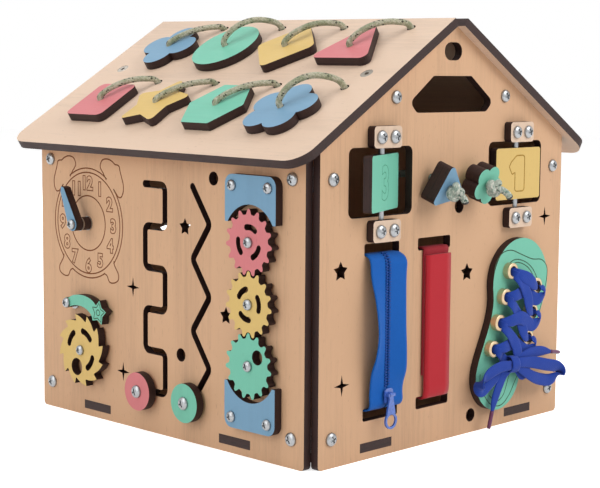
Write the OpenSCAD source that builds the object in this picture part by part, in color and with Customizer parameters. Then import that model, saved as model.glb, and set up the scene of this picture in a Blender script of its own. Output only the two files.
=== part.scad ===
// House-shaped wooden busy board: a plywood house whose walls and roof carry toys
// to turn, slide, lace and fasten. Millimetres, +Z up. The origin is on the ground
// under the middle of the house, and the front gable faces -Y.

/* [House] */
// Thickness of the plywood of the house and of every toy
ply = 6; // [5:0.2:7.4]
// Distance between the inner faces of the two side walls
inner_w = 250; // [240:1:320]
// Distance between the inner faces of the two gables
inner_l = 274; // [262:1:340]
// Height of the side walls
wall_h = 199.5; // [198:0.5:240]
// Slope of the roof in degrees
roof_pitch = 32; // [30:1:38]
// Roof overhang past the side walls, measured level
eave_overhang = 19; // [8:1:30]
// Roof overhang past the gables
gable_overhang = 7; // [3:1:20]
// Level gap between the outer edges of the two roof panels at the ridge
ridge_gap = 13; // [10:0.5:18]
// Gap between the edges of two walls at a corner
corner_gap = 0.2; // [0.1:0.1:1]
// Gap between the top edge of a side wall and the roof
eave_clear = 0.5; // [0.2:0.1:3]
// Height of the underside of the floor panel
floor_z = 5; // [3:0.5:20]
// Length of a floor tab
tab_l = 30; // [15:1:40]
// Distance of a floor tab from the middle of its wall
tab_at = 72.5; // [40:0.5:90]
// Size of a small star, sparkle or round cut-out
cutout_d = 13; // [8:0.5:16]

/* [Fasteners] */
// Diameter of a pan head
head_d = 8.8; // [8:0.2:11]
// Diameter of the smaller pan heads of the pivots and the guard plates
small_head_d = 7.2; // [6.4:0.2:9]
// Height of a pan head
head_h = 2.6; // [2:0.1:3.5]
// Diameter of a machine screw
screw_d = 4; // [3:0.5:5]
// Width across the flats of a nut
nut_af = 7; // [6:0.5:9]
// Thickness of a nut
nut_h = 3.2; // [2.4:0.2:4]
// Thickness of a flat washer
washer_t = 0.8; // [0.6:0.1:1.2]
// Diameter of a flat washer
washer_d = 10; // [8:0.5:12]
// Diameter of a wood screw
wood_screw_d = 3; // [2:0.5:3.5]
// Diameter of the sunk head of a roof bolt
bolt_head_d = 9; // [8:0.5:13]
// Width across the flats of the hexagon socket in it
socket_af = 3; // [2:0.5:4]
// Leg of a metal bracket
bracket_leg = 20; // [18:1:24]
// Width of a metal bracket
bracket_w = 15.4; // [12:0.2:18]
// Thickness of a metal bracket
bracket_t = 2; // [1:0.5:3]
// Distance of a bracket's screw from its inner corner
bracket_hole = 11.5; // [11:0.5:14]

/* [Fits] */
// Radial clearance of a running fit
run_clear = 0.05; // [0.03:0.01:0.1]
// Gap beside a turning or sliding face
face_gap = 0.2; // [0.1:0.1:0.6]
// Gap between the loose pieces of one fastener
snug = 0.04; // [0.02:0.01:0.06]

/* [Clock] */
// Distance of the clock from the middle of the wall, to its left
clock_left = 82; // [70:1:90]
// Height of the middle of the clock
clock_z = 139; // [130:1:150]
// Length of the hand from its pivot
hand_l = 29; // [24:1:33]
// Turn of the hand left of twelve o'clock
hand_turn = 26; // [0:1:180]
// Width of the hand's hub and of the spacer under it
clock_hub = 9.4; // [8.4:0.2:12]

/* [Ratchet] */
// Radius over the wheel's teeth
ratchet_r = 26; // [22:0.5:26]
// Depth of a tooth
ratchet_depth = 4.5; // [3:0.5:6]
// Number of teeth
ratchet_teeth = 12; // [8:1:16]
// Height of the middle of the wheel
ratchet_z = 48.6; // [44:0.1:49]
// Radius of the star at the end of the pawl
pawl_star_r = 9; // [7:0.5:9.5]

/* [Mazes] */
// Width of the maze slots
maze_slot = 5; // [4.6:0.2:6]
// Diameter of a maze disc
maze_disc_d = 26.4; // [20:0.2:30]

/* [Gears] */
// Distance between two neighbouring gears
gear_pitch = 39.6; // [39.6:0.1:44]
// Radius over a gear's teeth
gear_r = 21.4; // [18:0.1:21.4]
// Radius of the bottom of the gaps
gear_root = 17.8; // [16:0.1:17.9]
// Number of teeth
gear_teeth = 15; // [12:1:15]
// Width of a tooth at its foot
tooth_w = 4.6; // [3.8:0.1:4.8]
// Width of its round tip
tooth_tip_w = 2.8; // [2:0.1:3]
// Height of the middle gear
gear_z = 101.3; // [95:0.1:110]
// Distance of the gears from the middle of the wall, to its right
gear_right = 93; // [85:1:100]
// Radius of the hollow in a guard plate
guard_hollow = 24; // [22.5:0.5:26]

/* [Windows] */
// Width of a window
window_w = 60; // [54:1:66]
// Height of a window
window_h = 44.5; // [42:0.5:48]
// Distance of a window from the middle of the gable
window_at = 69.7; // [66:0.1:74]
// Height of the sill
sill_z = 157; // [150:1:160]
// Width of a turning plate
flip_w = 50; // [40:1:52]
// Height of a turning plate
flip_h = 36; // [30:1:37]
// Turn of the left plate at rest
flip_turn = 23; // [0:1:90]
// Diameter of a hinge pin
pin_d = 4; // [3:0.5:4.5]
// How deep a pin goes into a plate
pin_in = 8; // [5:1:10]

/* [Pull beads] */
// Thickness of a bead
bead_t = 12; // [10:1:14]
// Diameter of the beads' cord
bead_cord_d = 5; // [4:0.5:5.5]
// Height of the cord holes
bead_hole_z = 179; // [172:1:184]

/* [Straps] */
// Width of a strap slot
strap_slot_w = 33; // [30:1:36]
// Height of a strap slot
strap_slot_h = 8.3; // [7:0.1:9]
// Height of the middle of the upper slots
strap_top = 136; // [134:1:136]
// Height of the middle of the lower slots
strap_low = 29.3; // [28:0.1:32]
// Width of the zip fastener's tape
tape_w = 31; // [26:1:32]
// Width of the hook-and-loop strap
loop_w = 25; // [22:1:28]

/* [Roof toys] */
// Distance between neighbouring shapes along the roof
shape_pitch = 62; // [58:1:66]
// Diameter of the tether cords
tether_d = 4.2; // [3:0.2:5]
// Clearance round a tether in its roof hole
tether_clear = 1; // [0.6:0.2:2]
// How far a shape can be lifted before its knot stops it
tether_lift = 22; // [10:1:40]

/* [Hidden] */
$fn = 64;

// Colours of the stained plywood and of the metal and cloth
wood = "#d2ac8a";
pale_wood = "#e8cdb3";
teal = "#6fc3a6";
yellow = "#d9b868";
pink = "#d9757a";
blue = "#6f9dbf";
zinc = "#c9ccd0";
zip_blue = "#3f66b4";

// ---------- Places worked out from the sizes ----------

out_w = inner_w/2 + ply;
out_l = inner_l/2 + ply;
through = ply + 2;
apex_z = wall_h + eave_clear + out_w*tan(roof_pitch) + ply/cos(roof_pitch);
gable_peak = apex_z - ply/cos(roof_pitch);
gable_half = inner_w/2 - corner_gap;
side_half = inner_l/2 - corner_gap;
gable_side_h = gable_peak - gable_half*tan(roof_pitch);
roof_half_l = out_l + gable_overhang;
roof_top = ridge_gap/2/cos(roof_pitch);
roof_eave = (out_w + eave_overhang)/cos(roof_pitch);
eave_corner = 15;
foot_corner = 3;
// The floor's tabs through the gables, seen from the front
gable_tabs = [1 - tab_at, tab_at + 5.5];

// Brackets stand on the floor panel and hang under the wall's top
bracket_low = floor_z + ply + 0.1 + bracket_w/2;
bracket_high = wall_h - 17;
roof_bracket_down = 77.5;

// Toys of the left wall, as [right, up] from the middle of its foot
clock_at = [-clock_left, clock_z];
ratchet_at = [-clock_left - 0.4, ratchet_z];
pawl_at = ratchet_at + [-15.6, 32.4];
square_maze_left = -18.3;
square_maze_right = 2.6;
maze_low = 28.5;
maze_step = 28.5;
zigzag_left = 31;
zigzag_right = 48;
zigzag_low = 28;
zigzag_step = 24;
maze_bend = 4;
gear_top_at = [gear_right, gear_z + gear_pitch];
gear_mid_at = [gear_right, gear_z];
gear_low_at = [gear_right, gear_z - gear_pitch];
guard_w = 47;
guard_near = 12;
guard_far = 42.5;
guard_screw_at = 35.3;
guard_screw_side = 16.7;

// A maze disc rides this far off the wall, with its screw's washers on both sides of the panel
maze_ride = 1.8;
maze_grip = ply + face_gap + washer_t;
maze_disc_square = [square_maze_left, maze_low];
maze_disc_zigzag = [zigzag_left, zigzag_low];

// Toys of the front gable
pin_block = [26, 14];
block_gap = 0.5;
block_low_z = sill_z - 2 - pin_block.y/2;
block_high_z = sill_z + window_h - block_gap + pin_block.y/2;
block_screw_side = 6.3;
flip_mid_z = sill_z + 3.8 + flip_h/2;
pin_low = [block_low_z - 5, flip_mid_z - flip_h/2 + pin_in];
pin_high = [flip_mid_z + flip_h/2 - pin_in, block_high_z + 5];
triangle_x = -20.5;
flower_x = 19;
bead_tilt = [19, 15];
bead_hole_d = bead_cord_d + 1.5;
zip_x = -68;
loop_x = -16.5;
// Eyelets: the left row and the right row, from the toe down
eyelet_rows = [[[56.4, 111.2], [50, 93.6], [43.6, 76], [37.2, 58.4]], [[85, 98.2], [80.3, 80.2], [75.6, 62.2], [69, 46]]];
eyelet_d = 8.4;
eyelet_rise = 5;

// Roof toys, as [right, up the slope] from the middle of the ridge
shape_first = -91.7;
upper_row = -53.3;
lower_row = -128;
tether_step = [25.9, 33.3];
tether_hole_d = tether_d + 2*tether_clear;
tether_knot_r = 4.6;

// ---------- Places on the six panels, each seen from outside ----------

module on_front() { translate([0, -out_l, 0]) rotate([90, 0, 0]) children(); }
module on_back() { translate([0, out_l, 0]) rotate([90, 0, 180]) children(); }
module on_left() { translate([-out_w, 0, 0]) rotate([90, 0, -90]) children(); }
module on_right() { translate([out_w, 0, 0]) rotate([90, 0, 90]) children(); }
module on_roof_left() { translate([0, 0, apex_z]) rotate([0, -roof_pitch, 0]) rotate([0, 0, -90]) children(); }
module on_roof_right() { translate([0, 0, apex_z]) rotate([0, roof_pitch, 0]) rotate([0, 0, 90]) children(); }

// A flat outline made a plate from height low to height high above the panel's face
module plate(low, high) { translate([0, 0, low]) linear_extrude(high - low) children(); }
// A flat outline as a cutter through the panel
module cut() { translate([0, 0, -ply - 1]) linear_extrude(through) children(); }
module at(place) { translate([place.x, place.y, 0]) children(); }

// ---------- Outlines ----------

function unit(v) = v/norm(v);
function polar(r, a) = r*[cos(a), sin(a)];
function arc(middle, r, from, to, n) = [for (i = [0:n]) middle + polar(r, from + (to - from)*i/n)];
function bezier(p, q, r, s, n) = [for (i = [0:n]) let (t = i/n)
    p*pow(1 - t, 3) + 3*q*t*pow(1 - t, 2) + 3*r*t*t*(1 - t) + s*pow(t, 3)];

// The corner at a point, between the points before and after it, rounded to radius r
function corner(before, point, after, r, n) =
    let (a = unit(before - point), b = unit(after - point), half = acos(a*b)/2,
        middle = point + unit(a + b)*r/sin(half), turn = 180 - 2*half,
        from = point + a*r/tan(half) - middle, to = point + b*r/tan(half) - middle)
    [for (i = [0:n]) middle + (from*sin((1 - i/n)*turn) + to*sin(i/n*turn))/sin(turn)];
// A closed outline with its corners rounded, all alike or each by its own radius
function rounded(points, r, n = 6) = let (k = len(points))
    [for (i = [0:k - 1]) each corner(points[(i + k - 1)%k], points[i], points[(i + 1)%k],
        is_list(r) ? r[i] : r, n)];
// An open path with its inner corners rounded
function bent(points, r, n = 5) = let (k = len(points) - 1)
    [points[0], for (i = [1:k - 1]) each corner(points[i - 1], points[i], points[i + 1], r, n), points[k]];
// The outline of a band of width w along an open path, with mitred corners
function band(path, w) = let (k = len(path) - 1,
    side = [for (i = [0:k]) let (a = unit(path[min(i + 1, k)] - path[min(i, k - 1)]),
        b = unit(path[max(i, 1)] - path[max(i - 1, 0)]), m = unit(a + b)) [-m.y, m.x]/(m*a)*w/2])
    concat([for (i = [0:k]) path[i] + side[i]], [for (i = [k:-1:0]) path[i] - side[i]]);
// The same with round ends
function slot(path, w, n = 8) = let (k = len(path) - 1,
    outline = band(path, w), start = unit(path[0] - path[1]), end = unit(path[k] - path[k - 1]),
    start_a = atan2(start.y, start.x), end_a = atan2(end.y, end.x))
    concat([for (i = [0:k]) outline[i]], [for (i = [1:n - 1]) path[k] + polar(w/2, end_a + 90 - 180*i/n)],
        [for (i = [k + 1:2*k + 1]) outline[i]], [for (i = [1:n - 1]) path[0] + polar(w/2, start_a + 90 - 180*i/n)]);
function box_outline(w, h) = [[-w/2, -h/2], [w/2, -h/2], [w/2, h/2], [-w/2, h/2]];
function regular(n, r, first) = [for (i = [0:n - 1]) polar(r, first + i*360/n)];
function star_outline(n, r, inner, first) =
    [for (i = [0:n - 1]) each [polar(r, first + i*360/n), polar(inner, first + (i + 0.5)*360/n)]];

module five_star(d) { polygon(star_outline(5, d/2, d*0.27, 90)); }
module sparkle(d) { polygon(star_outline(4, d*0.54, d*0.13, 0)); }
module petals(n, r, petal_r, first) {
    circle(r = r - petal_r);
    for (i = [0:n - 1]) rotate(first + i*360/n) translate([r - petal_r, 0]) circle(r = petal_r);
}

// ---------- Fasteners, standing on a face that looks along +Z ----------

// A cross-head pan screw: its head sits on height 0 and its shank goes down to -length
module pan_screw(d, length, head = head_d) {
    crown = head_h*0.75;
    difference() {
        rotate_extrude() polygon(concat([[0, 0], [head/2, 0]],
            [for (i = [0:6]) [head/2*cos(i*13), head_h - crown + crown*sin(i*15)]], [[0, head_h]]));
        for (turn = [20, 110]) rotate(turn) translate([-head*0.27, -0.6, head_h*0.5]) cube([head*0.54, 1.2, head_h]);
    }
    translate([0, 0, -length]) cylinder(d = d, h = length + head_h*0.3);
}
// A nut round a screw, on height 0 and going down
module nut(d) {
    translate([0, 0, -nut_h]) difference() {
        cylinder(d = nut_af/cos(30), h = nut_h, $fn = 6);
        translate([0, 0, -1]) cylinder(d = d, h = nut_h + 2);
    }
}
module washer(d, outer) {
    difference() {
        cylinder(d = outer, h = washer_t);
        translate([0, 0, -1]) cylinder(d = d, h = washer_t + 2);
    }
}
// Pivot screws of the left wall: place and how far the head stands off the wall
spacer_h = ply;
clock_head = 2*washer_t + spacer_h + ply + 3*face_gap;
wheel_head = washer_t + ply + 2*face_gap;
pivots = [[clock_at, clock_head], [ratchet_at, wheel_head], [pawl_at, wheel_head],
    [gear_top_at, wheel_head], [gear_mid_at, wheel_head], [gear_low_at, wheel_head]];
wheel_low = washer_t + face_gap;
pivot_bore = screw_d + 2*run_clear;

// ---------- Walls ----------

front_screws = [for (x = [-1, 1], z = [bracket_low, bracket_high]) [x*(inner_w/2 - bracket_hole), z]];
side_screws = [for (y = [-1, 1], z = [bracket_low, bracket_high]) [y*(inner_l/2 - bracket_hole), z]];
// Where the roof brackets' screws go through a gable: down the slope, then square to the roof
gable_screws = [for (x = [-1, 1]) let (down = roof_bracket_down, in = ply + bracket_hole)
    [x*(down*cos(roof_pitch) - in*sin(roof_pitch)), apex_z - down*sin(roof_pitch) - in*cos(roof_pitch)]];
roof_bolt_places = [for (y = [-1, 1]) [y*(inner_l/2 - bracket_hole), -roof_bracket_down]];

module screw_holes(places, d) { cut() for (place = places) translate(place) circle(d = d); }
module tab_slots(places) { cut() for (x = places) translate([x, floor_z + ply/2]) square([tab_l + 0.2, ply + 0.2], center = true); }

module gable_outline() {
    polygon(concat(arc([-gable_half + foot_corner, foot_corner], foot_corner, 180, 270, 4),
        arc([gable_half - foot_corner, foot_corner], foot_corner, 270, 360, 4),
        [[gable_half, gable_side_h], [0, gable_peak], [-gable_half, gable_side_h]]));
}
module handle_hole() {
    rise = apex_z - 288.9;
    translate([0, rise]) {
        polygon(rounded([[-36, 222.5], [36, 222.5], [43, 229.5], [19.5, 246.7], [-19.5, 246.7], [-43, 229.5]],
            [6, 6, 4, 3, 3, 4]));
        polygon(slot([[-3, 263], [3, 263]], 12));
    }
}
module gable_blank(side) {
    difference() {
        plate(-ply, 0) gable_outline();
        cut() handle_hole();
        screw_holes(concat(front_screws, gable_screws), screw_d);
        tab_slots(side*gable_tabs);
    }
}
module window_holes() {
    for (x = [-1, 1]) translate([x*window_at, sill_z + window_h/2]) polygon(rounded(box_outline(window_w, window_h), 4.5));
}
module strap_slots() {
    for (x = [zip_x, loop_x], z = [strap_top, strap_low]) translate([x, z])
        polygon(rounded(box_outline(strap_slot_w, strap_slot_h), 1.5));
}
module each_eyelet() {
    for (row = eyelet_rows, place = row) at(place) children();
}
module each_block() {
    for (x = [-1, 1], z = [block_low_z, block_high_z]) at([x*window_at, z]) children();
}
module block_screw_holes(d) { each_block() for (x = [-1, 1]) translate([x*block_screw_side, 0]) circle(d = d); }
// The pins lie half in the wall's face and half in the blocks
module pin_bores(grow) {
    for (x = [-1, 1], run = [pin_low, pin_high]) translate([x*window_at, run[0], 0])
        rotate([-90, 0, 0]) cylinder(d = pin_d + grow, h = run[1] - run[0]);
}
front_stars = [[-106, 124.5], [18.4, 112.9]];
front_sparkles = [[105.9, 146], [-104, 51.6]];
front_rounds = [[8.9, 158.9], [25, 12.3]];

module front_gable() {
    color(wood) on_front() difference() {
        gable_blank(1);
        cut() {
            window_holes();
            strap_slots();
            for (place = front_stars) translate(place) five_star(cutout_d);
            for (place = front_sparkles) translate(place) sparkle(cutout_d);
            for (place = front_rounds) translate(place) circle(d = cutout_d*0.72);
            for (x = [triangle_x, flower_x]) translate([x, bead_hole_z]) circle(d = bead_hole_d);
            each_eyelet() circle(d = eyelet_d);
            block_screw_holes(wood_screw_d);
        }
        pin_bores(0);
    }
}
module back_gable() {
    color(wood) on_back() difference() {
        gable_blank(-1);
        cut() {
            for (x = [-1, 1]) translate([x*14.5, 122]) five_star(cutout_d);
        }
    }
}

square_maze_path = [for (i = [0:5]) let (a = i%2 == 0 ? square_maze_left : square_maze_right,
    b = i%2 == 0 ? square_maze_right : square_maze_left, z = maze_low + i*maze_step) each [[a, z], [b, z]]];
zigzag_path = [for (i = [0:6]) [i%2 == 0 ? zigzag_left : zigzag_right, zigzag_low + i*zigzag_step]];
side_rounds = [[51.7, 178.6], [19.1, 58]];
side_stars = [[23.3, 144.7], [64.1, 89.9]];
side_sparkles = [[-31.8, 98.6], [-43, 37.8]];
guard_screws_at = [for (x = [-1, 1], z = [-1, 1])
    [gear_right + x*guard_screw_side, gear_z + z*(gear_pitch + guard_screw_at)]];

module side_blank() {
    difference() {
        plate(-ply, 0) translate([0, wall_h/2]) polygon(rounded(box_outline(2*side_half, wall_h), foot_corner));
        screw_holes(side_screws, screw_d);
        tab_slots([-tab_at, tab_at]);
    }
}
module left_wall() {
    color(wood) on_left() difference() {
        side_blank();
        cut() {
            polygon(slot(bent(square_maze_path, maze_bend), maze_slot));
            polygon(slot(bent(zigzag_path, maze_bend), maze_slot));
            for (place = side_rounds) translate(place) circle(d = cutout_d*0.7);
            for (place = side_stars) translate(place) five_star(cutout_d*0.92);
            for (place = side_sparkles) translate(place) sparkle(cutout_d);
            for (place = guard_screws_at) translate(place) circle(d = wood_screw_d);
            for (pivot = pivots) translate(pivot[0]) circle(d = screw_d);
        }
    }
}
module right_wall() { color(wood) on_right() side_blank(); }

module floor_panel() {
    clear = 0.1;
    color(wood) translate([0, 0, floor_z]) linear_extrude(ply) {
        square([inner_w - 2*clear, inner_l - 2*clear], center = true);
        for (y = [-1, 1]) translate([0, y*tab_at]) square([2*out_w, tab_l], center = true);
        for (x = gable_tabs) translate([x, 0]) square([tab_l, 2*out_l], center = true);
    }
}

// ---------- Roof ----------

function shape_place(i) = [shape_first + (i%4)*shape_pitch, i < 4 ? upper_row : lower_row];

module roof_outline() {
    polygon(concat([[roof_half_l, -roof_top], [-roof_half_l, -roof_top]],
        arc([-roof_half_l + eave_corner, -roof_eave + eave_corner], eave_corner, 180, 270, 8),
        arc([roof_half_l - eave_corner, -roof_eave + eave_corner], eave_corner, 270, 360, 8)));
}
module roof_panel() {
    difference() {
        plate(-ply, 0) roof_outline();
        for (place = roof_bolt_places) at(place) {
            translate([0, 0, -through]) cylinder(d = screw_d, h = through + 1);
            translate([0, 0, -2.5]) cylinder(d = bolt_head_d, h = 4);
        }
    }
}
module roof_left() {
    color(pale_wood) on_roof_left() difference() {
        roof_panel();
        cut() for (i = [0:7]) translate(shape_place(i) + tether_step) circle(d = tether_hole_d);
    }
}
module roof_right() { color(pale_wood) on_roof_right() roof_panel(); }

module roof_bolts() {
    color(zinc) for (side = [0, 1]) mirror([side, 0, 0]) on_roof_left() for (place = roof_bolt_places) at(place) {
        translate([0, 0, -2.5]) difference() {
            cylinder(d = bolt_head_d, h = 2.4);
            translate([0, 0, 0.9]) cylinder(d = socket_af/cos(30), h = 2, $fn = 6);
        }
        translate([0, 0, -ply - bracket_t - nut_h - 2]) cylinder(d = screw_d, h = ply + bracket_t + nut_h);
    }
}

// ---------- Metal brackets ----------

// An angle strip: its inner corner runs along Z through the origin, its legs lie along +X and +Y
module angle_strip() {
    difference() {
        translate([0, 0, -bracket_w/2]) linear_extrude(bracket_w)
            polygon([[0, 0], [bracket_leg, 0], [bracket_leg, bracket_t], [bracket_t, bracket_t],
                [bracket_t, bracket_leg], [0, bracket_leg]]);
        translate([bracket_hole, -1, 0]) rotate([-90, 0, 0]) cylinder(d = screw_d, h = bracket_t + 2);
        translate([-1, bracket_hole, 0]) rotate([0, 90, 0]) cylinder(d = screw_d, h = bracket_t + 2);
    }
}
module corner_brackets() {
    color(zinc) for (x = [0, 1], y = [0, 1], z = [bracket_low, bracket_high])
        mirror([x, 0, 0]) mirror([0, y, 0]) translate([-inner_w/2, -inner_l/2, z]) angle_strip();
}
module roof_brackets() {
    color(zinc) for (x = [0, 1], y = [0, 1]) mirror([x, 0, 0]) mirror([0, y, 0]) on_roof_left()
        translate([inner_l/2, -roof_bracket_down, -ply]) rotate([-90, 0, 180]) angle_strip();
}

// ---------- Screws and nuts ----------

screw_reach = ply + bracket_t + nut_h + 1;
module wall_screws(places) { for (place = places) at(place) pan_screw(screw_d, screw_reach); }
module wall_nuts(places) { for (place = places) translate([place.x, place.y, -ply - bracket_t]) nut(screw_d); }

module frame_screws() {
    color(zinc) {
        on_front() wall_screws(concat(front_screws, gable_screws));
        on_back() wall_screws(concat(front_screws, gable_screws));
        on_left() wall_screws(side_screws);
        on_right() wall_screws(side_screws);
    }
}
module nuts() {
    color(zinc) {
        on_front() wall_nuts(concat(front_screws, gable_screws));
        on_back() wall_nuts(concat(front_screws, gable_screws));
        on_left() wall_nuts(side_screws);
        on_right() wall_nuts(side_screws);
        on_roof_left() wall_nuts(roof_bolt_places);
        on_roof_right() wall_nuts(roof_bolt_places);
        on_left() for (pivot = pivots) translate([pivot[0].x, pivot[0].y, -ply]) nut(screw_d);
    }
}
module pivot_screws() {
    color(zinc) on_left() for (pivot = pivots) translate([pivot[0].x, pivot[0].y, pivot[1]])
        pan_screw(screw_d, pivot[1] + ply + nut_h + 1, small_head_d);
}
module pivot_washers() {
    color(zinc) on_left() {
        for (pivot = pivots) at(pivot[0]) washer(screw_d, washer_d);
        translate([clock_at.x, clock_at.y, washer_t + spacer_h]) washer(screw_d, washer_d);
    }
}
module wood_screws() {
    color(zinc) {
        on_front() for (x = [-1, 1]) translate([0, 0, ply]) each_block() translate([x*block_screw_side, 0, 0])
            pan_screw(wood_screw_d, 2*ply - 1);
        on_left() for (place = guard_screws_at) translate([place.x, place.y, ply])
            pan_screw(wood_screw_d, 2*ply - 1, small_head_d);
    }
}

// ---------- Clock and ratchet ----------

module clock_spacer() {
    color(wood) on_left() translate([clock_at.x, clock_at.y, washer_t]) difference() {
        cylinder(d = clock_hub, h = spacer_h);
        translate([0, 0, -1]) cylinder(d = screw_d, h = spacer_h + 2);
    }
}
module clock_hand() {
    low = 2*washer_t + spacer_h + face_gap;
    tip_w = 4.6;
    color(blue) on_left() at(clock_at) rotate(hand_turn) difference() {
        plate(low, low + ply) union() {
            circle(d = clock_hub);
            polygon([[-clock_hub/2, 0], [clock_hub/2, 0], [tip_w/2, hand_l - 2], [0, hand_l], [-tip_w/2, hand_l - 3]]);
        }
        cylinder(d = pivot_bore, h = 3*ply + 10);
    }
}

// Twelve saw teeth: each rises slowly to its tip and drops straight back
function saw_outline(n, r, root, first) = [for (i = [0:n - 1]) let (a = first - i*360/n)
    each [for (j = [0:5]) polar(r + (root - r)*j/5, a - j/5*0.88*360/n), polar(root, a - 360/n)]];
module ratchet_wheel() {
    slot_r = 14;
    color(yellow) on_left() at(ratchet_at) difference() {
        plate(wheel_low, wheel_low + ply) difference() {
            polygon(saw_outline(ratchet_teeth, ratchet_r, ratchet_r - ratchet_depth, 14));
            for (a = [146, 60, -37]) polygon(slot(arc([0, 0], slot_r, a - 20, a + 20, 6), 4.4));
            translate([-4.8, -12.6]) circle(d = 12.4);
        }
        cylinder(d = pivot_bore, h = 3*ply);
    }
}
// A curved arm from the pivot to a star that it carries at its end
function pawl_outline(hub, star_at, star_r) = let (inner = star_r*0.6,
    tips = [for (i = [0:3]) star_at + polar(star_r, 224 + i*72)], dips = [for (i = [0:3]) star_at + polar(inner, 260 + i*72)])
    concat(arc([0, 0], hub, 110, 250, 8), bezier([1, -hub + 0.6], [9, 1.5], [24, 0], star_at + [-7, -3.6], 8),
        [for (i = [0:3]) each [tips[i], dips[i]]], bezier(dips[3] + [-1, 0.8], [26, 8.5], [10, 9], [1.2, hub - 0.4], 10));
module pawl() {
    color(teal) on_left() at(pawl_at) difference() {
        plate(wheel_low, wheel_low + ply) polygon(pawl_outline(4, [35.9, -3.2], pawl_star_r));
        cylinder(d = pivot_bore, h = 3*ply);
    }
}

// ---------- Gears ----------

// Stubby teeth that narrow to round tips, on a round body
function gear_outline() = let (tip = tooth_tip_w/2, foot = asin(tooth_w/2/gear_root), step = 360/gear_teeth)
    [for (i = [0:gear_teeth - 1]) let (a = 90 - i*step)
        each concat([polar(gear_root + 0.5, a + foot*0.9)],
            [for (j = [0:6]) polar(gear_r - tip, a) + polar(tip, a + 75 - j*25)],
            [polar(gear_root + 0.5, a - foot*0.9), polar(gear_root, a - foot*1.25), polar(gear_root, a - step + foot*1.25)])];
// With an even number of teeth the middle gear is turned by half a tooth, so that its teeth meet the gaps
mesh_turn = gear_teeth%2 == 0 ? 180/gear_teeth : 0;
module gear_at(place, turn = 0) {
    on_left() at(place) rotate(turn) difference() {
        plate(wheel_low, wheel_low + ply) difference() {
            polygon(gear_outline());
            children();
        }
        cylinder(d = pivot_bore, h = 3*ply);
    }
}
module gear_slots(first) { for (i = [0:2]) polygon(slot(arc([0, 0], 9.8, first + i*120 - 25, first + i*120 + 25, 6), 3.9)); }
module pink_gear() { color(pink) gear_at(gear_top_at) gear_slots(78); }
module yellow_gear() { color(yellow) gear_at(gear_mid_at, mesh_turn) gear_slots(8); }
module teal_gear() { color(teal) gear_at(gear_low_at) translate([8.4, 6.6]) circle(d = 9.6); }

// Two plates with a hollow round the outer gears
module gear_guards() {
    height = guard_far - guard_near;
    color(blue) on_left() for (flip = [0, 1]) translate([gear_right, gear_z, 0]) mirror([0, flip, 0])
        translate([0, gear_pitch, 0]) difference() {
            plate(0, ply) translate([0, guard_near + height/2])
                polygon(rounded(box_outline(guard_w, height), [0.5, 0.5, 6.5, 6.5]));
            translate([0, 0, -1]) cylinder(r = guard_hollow, h = ply + 2);
            for (x = [-1, 1]) translate([x*guard_screw_side, guard_screw_at, -1]) cylinder(d = wood_screw_d, h = ply + 2);
        }
}

// ---------- Maze discs ----------

module maze_disc(place) {
    on_left() translate([place.x, place.y, maze_ride]) difference() {
        cylinder(d = maze_disc_d, h = ply);
        translate([0, 0, -1]) cylinder(d = screw_d, h = ply + 2);
    }
}
// The screw, the washers on both sides of the panel and the nut that slide with a disc
module maze_screw(place) {
    on_left() at(place) {
        translate([0, 0, maze_ride + ply]) pan_screw(screw_d, maze_ride + ply + maze_grip + nut_h + 1);
        translate([0, 0, maze_ride - washer_t]) washer(screw_d + snug, washer_d);
        translate([0, 0, -maze_grip]) washer(screw_d + snug, washer_d);
        translate([0, 0, -maze_grip - snug]) nut(screw_d + snug);
    }
}
module square_maze_disc() { color(pink) maze_disc(maze_disc_square); }
module square_maze_screw() { color(zinc) maze_screw(maze_disc_square); }
module zigzag_maze_disc() { color(teal) maze_disc(maze_disc_zigzag); }
module zigzag_maze_screw() { color(zinc) maze_screw(maze_disc_zigzag); }

// ---------- Window plates ----------

module flip_plate(side, turn) {
    bore_in = pin_in + 0.3;
    on_front() translate([side*window_at, 0, 0]) rotate([0, turn, 0]) difference() {
        plate(-ply/2, ply/2) translate([0, flip_mid_z]) polygon(rounded(box_outline(flip_w, flip_h), 2));
        for (z = [flip_mid_z - flip_h/2 - 1, flip_mid_z + flip_h/2 - bore_in]) translate([0, z, 0])
            rotate([-90, 0, 0]) cylinder(d = pin_d + 2*run_clear, h = bore_in + 1);
    }
}
module teal_flip_plate() { color(teal) flip_plate(-1, flip_turn); }
module yellow_flip_plate() { color(yellow) flip_plate(1, 0); }
module flip_pins() { color(zinc) on_front() pin_bores(0); }
module pin_blocks() {
    color(pale_wood) on_front() difference() {
        plate(0, ply) each_block() polygon(rounded(box_outline(pin_block.x, pin_block.y), 2.5));
        translate([0, 0, -1]) linear_extrude(ply + 2) block_screw_holes(wood_screw_d);
        pin_bores(0);
    }
}

// ---------- Swept cords ----------

// A tube round a path that lies in a plane square to the direction side, with its own radius at each point
module tube(path, radii, side) {
    k = len(path);
    sides = 8;
    rings = [for (i = [0:k - 1]) let (t = unit(path[min(i + 1, k - 1)] - path[max(i - 1, 0)]), up = cross(t, side))
        each [for (j = [0:sides - 1]) path[i] + radii[i]*(cos(j*360/sides)*up + sin(j*360/sides)*side)]];
    walls = [for (i = [0:k - 2], j = [0:sides - 1]) let (a = i*sides + j, b = i*sides + (j + 1)%sides)
        each [[a, b, b + sides], [a, b + sides, a + sides]]];
    ends = [[for (j = [sides - 1:-1:0]) j], [for (j = [0:sides - 1]) (k - 1)*sides + j]];
    polyhedron(rings, concat(walls, ends));
}

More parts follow.
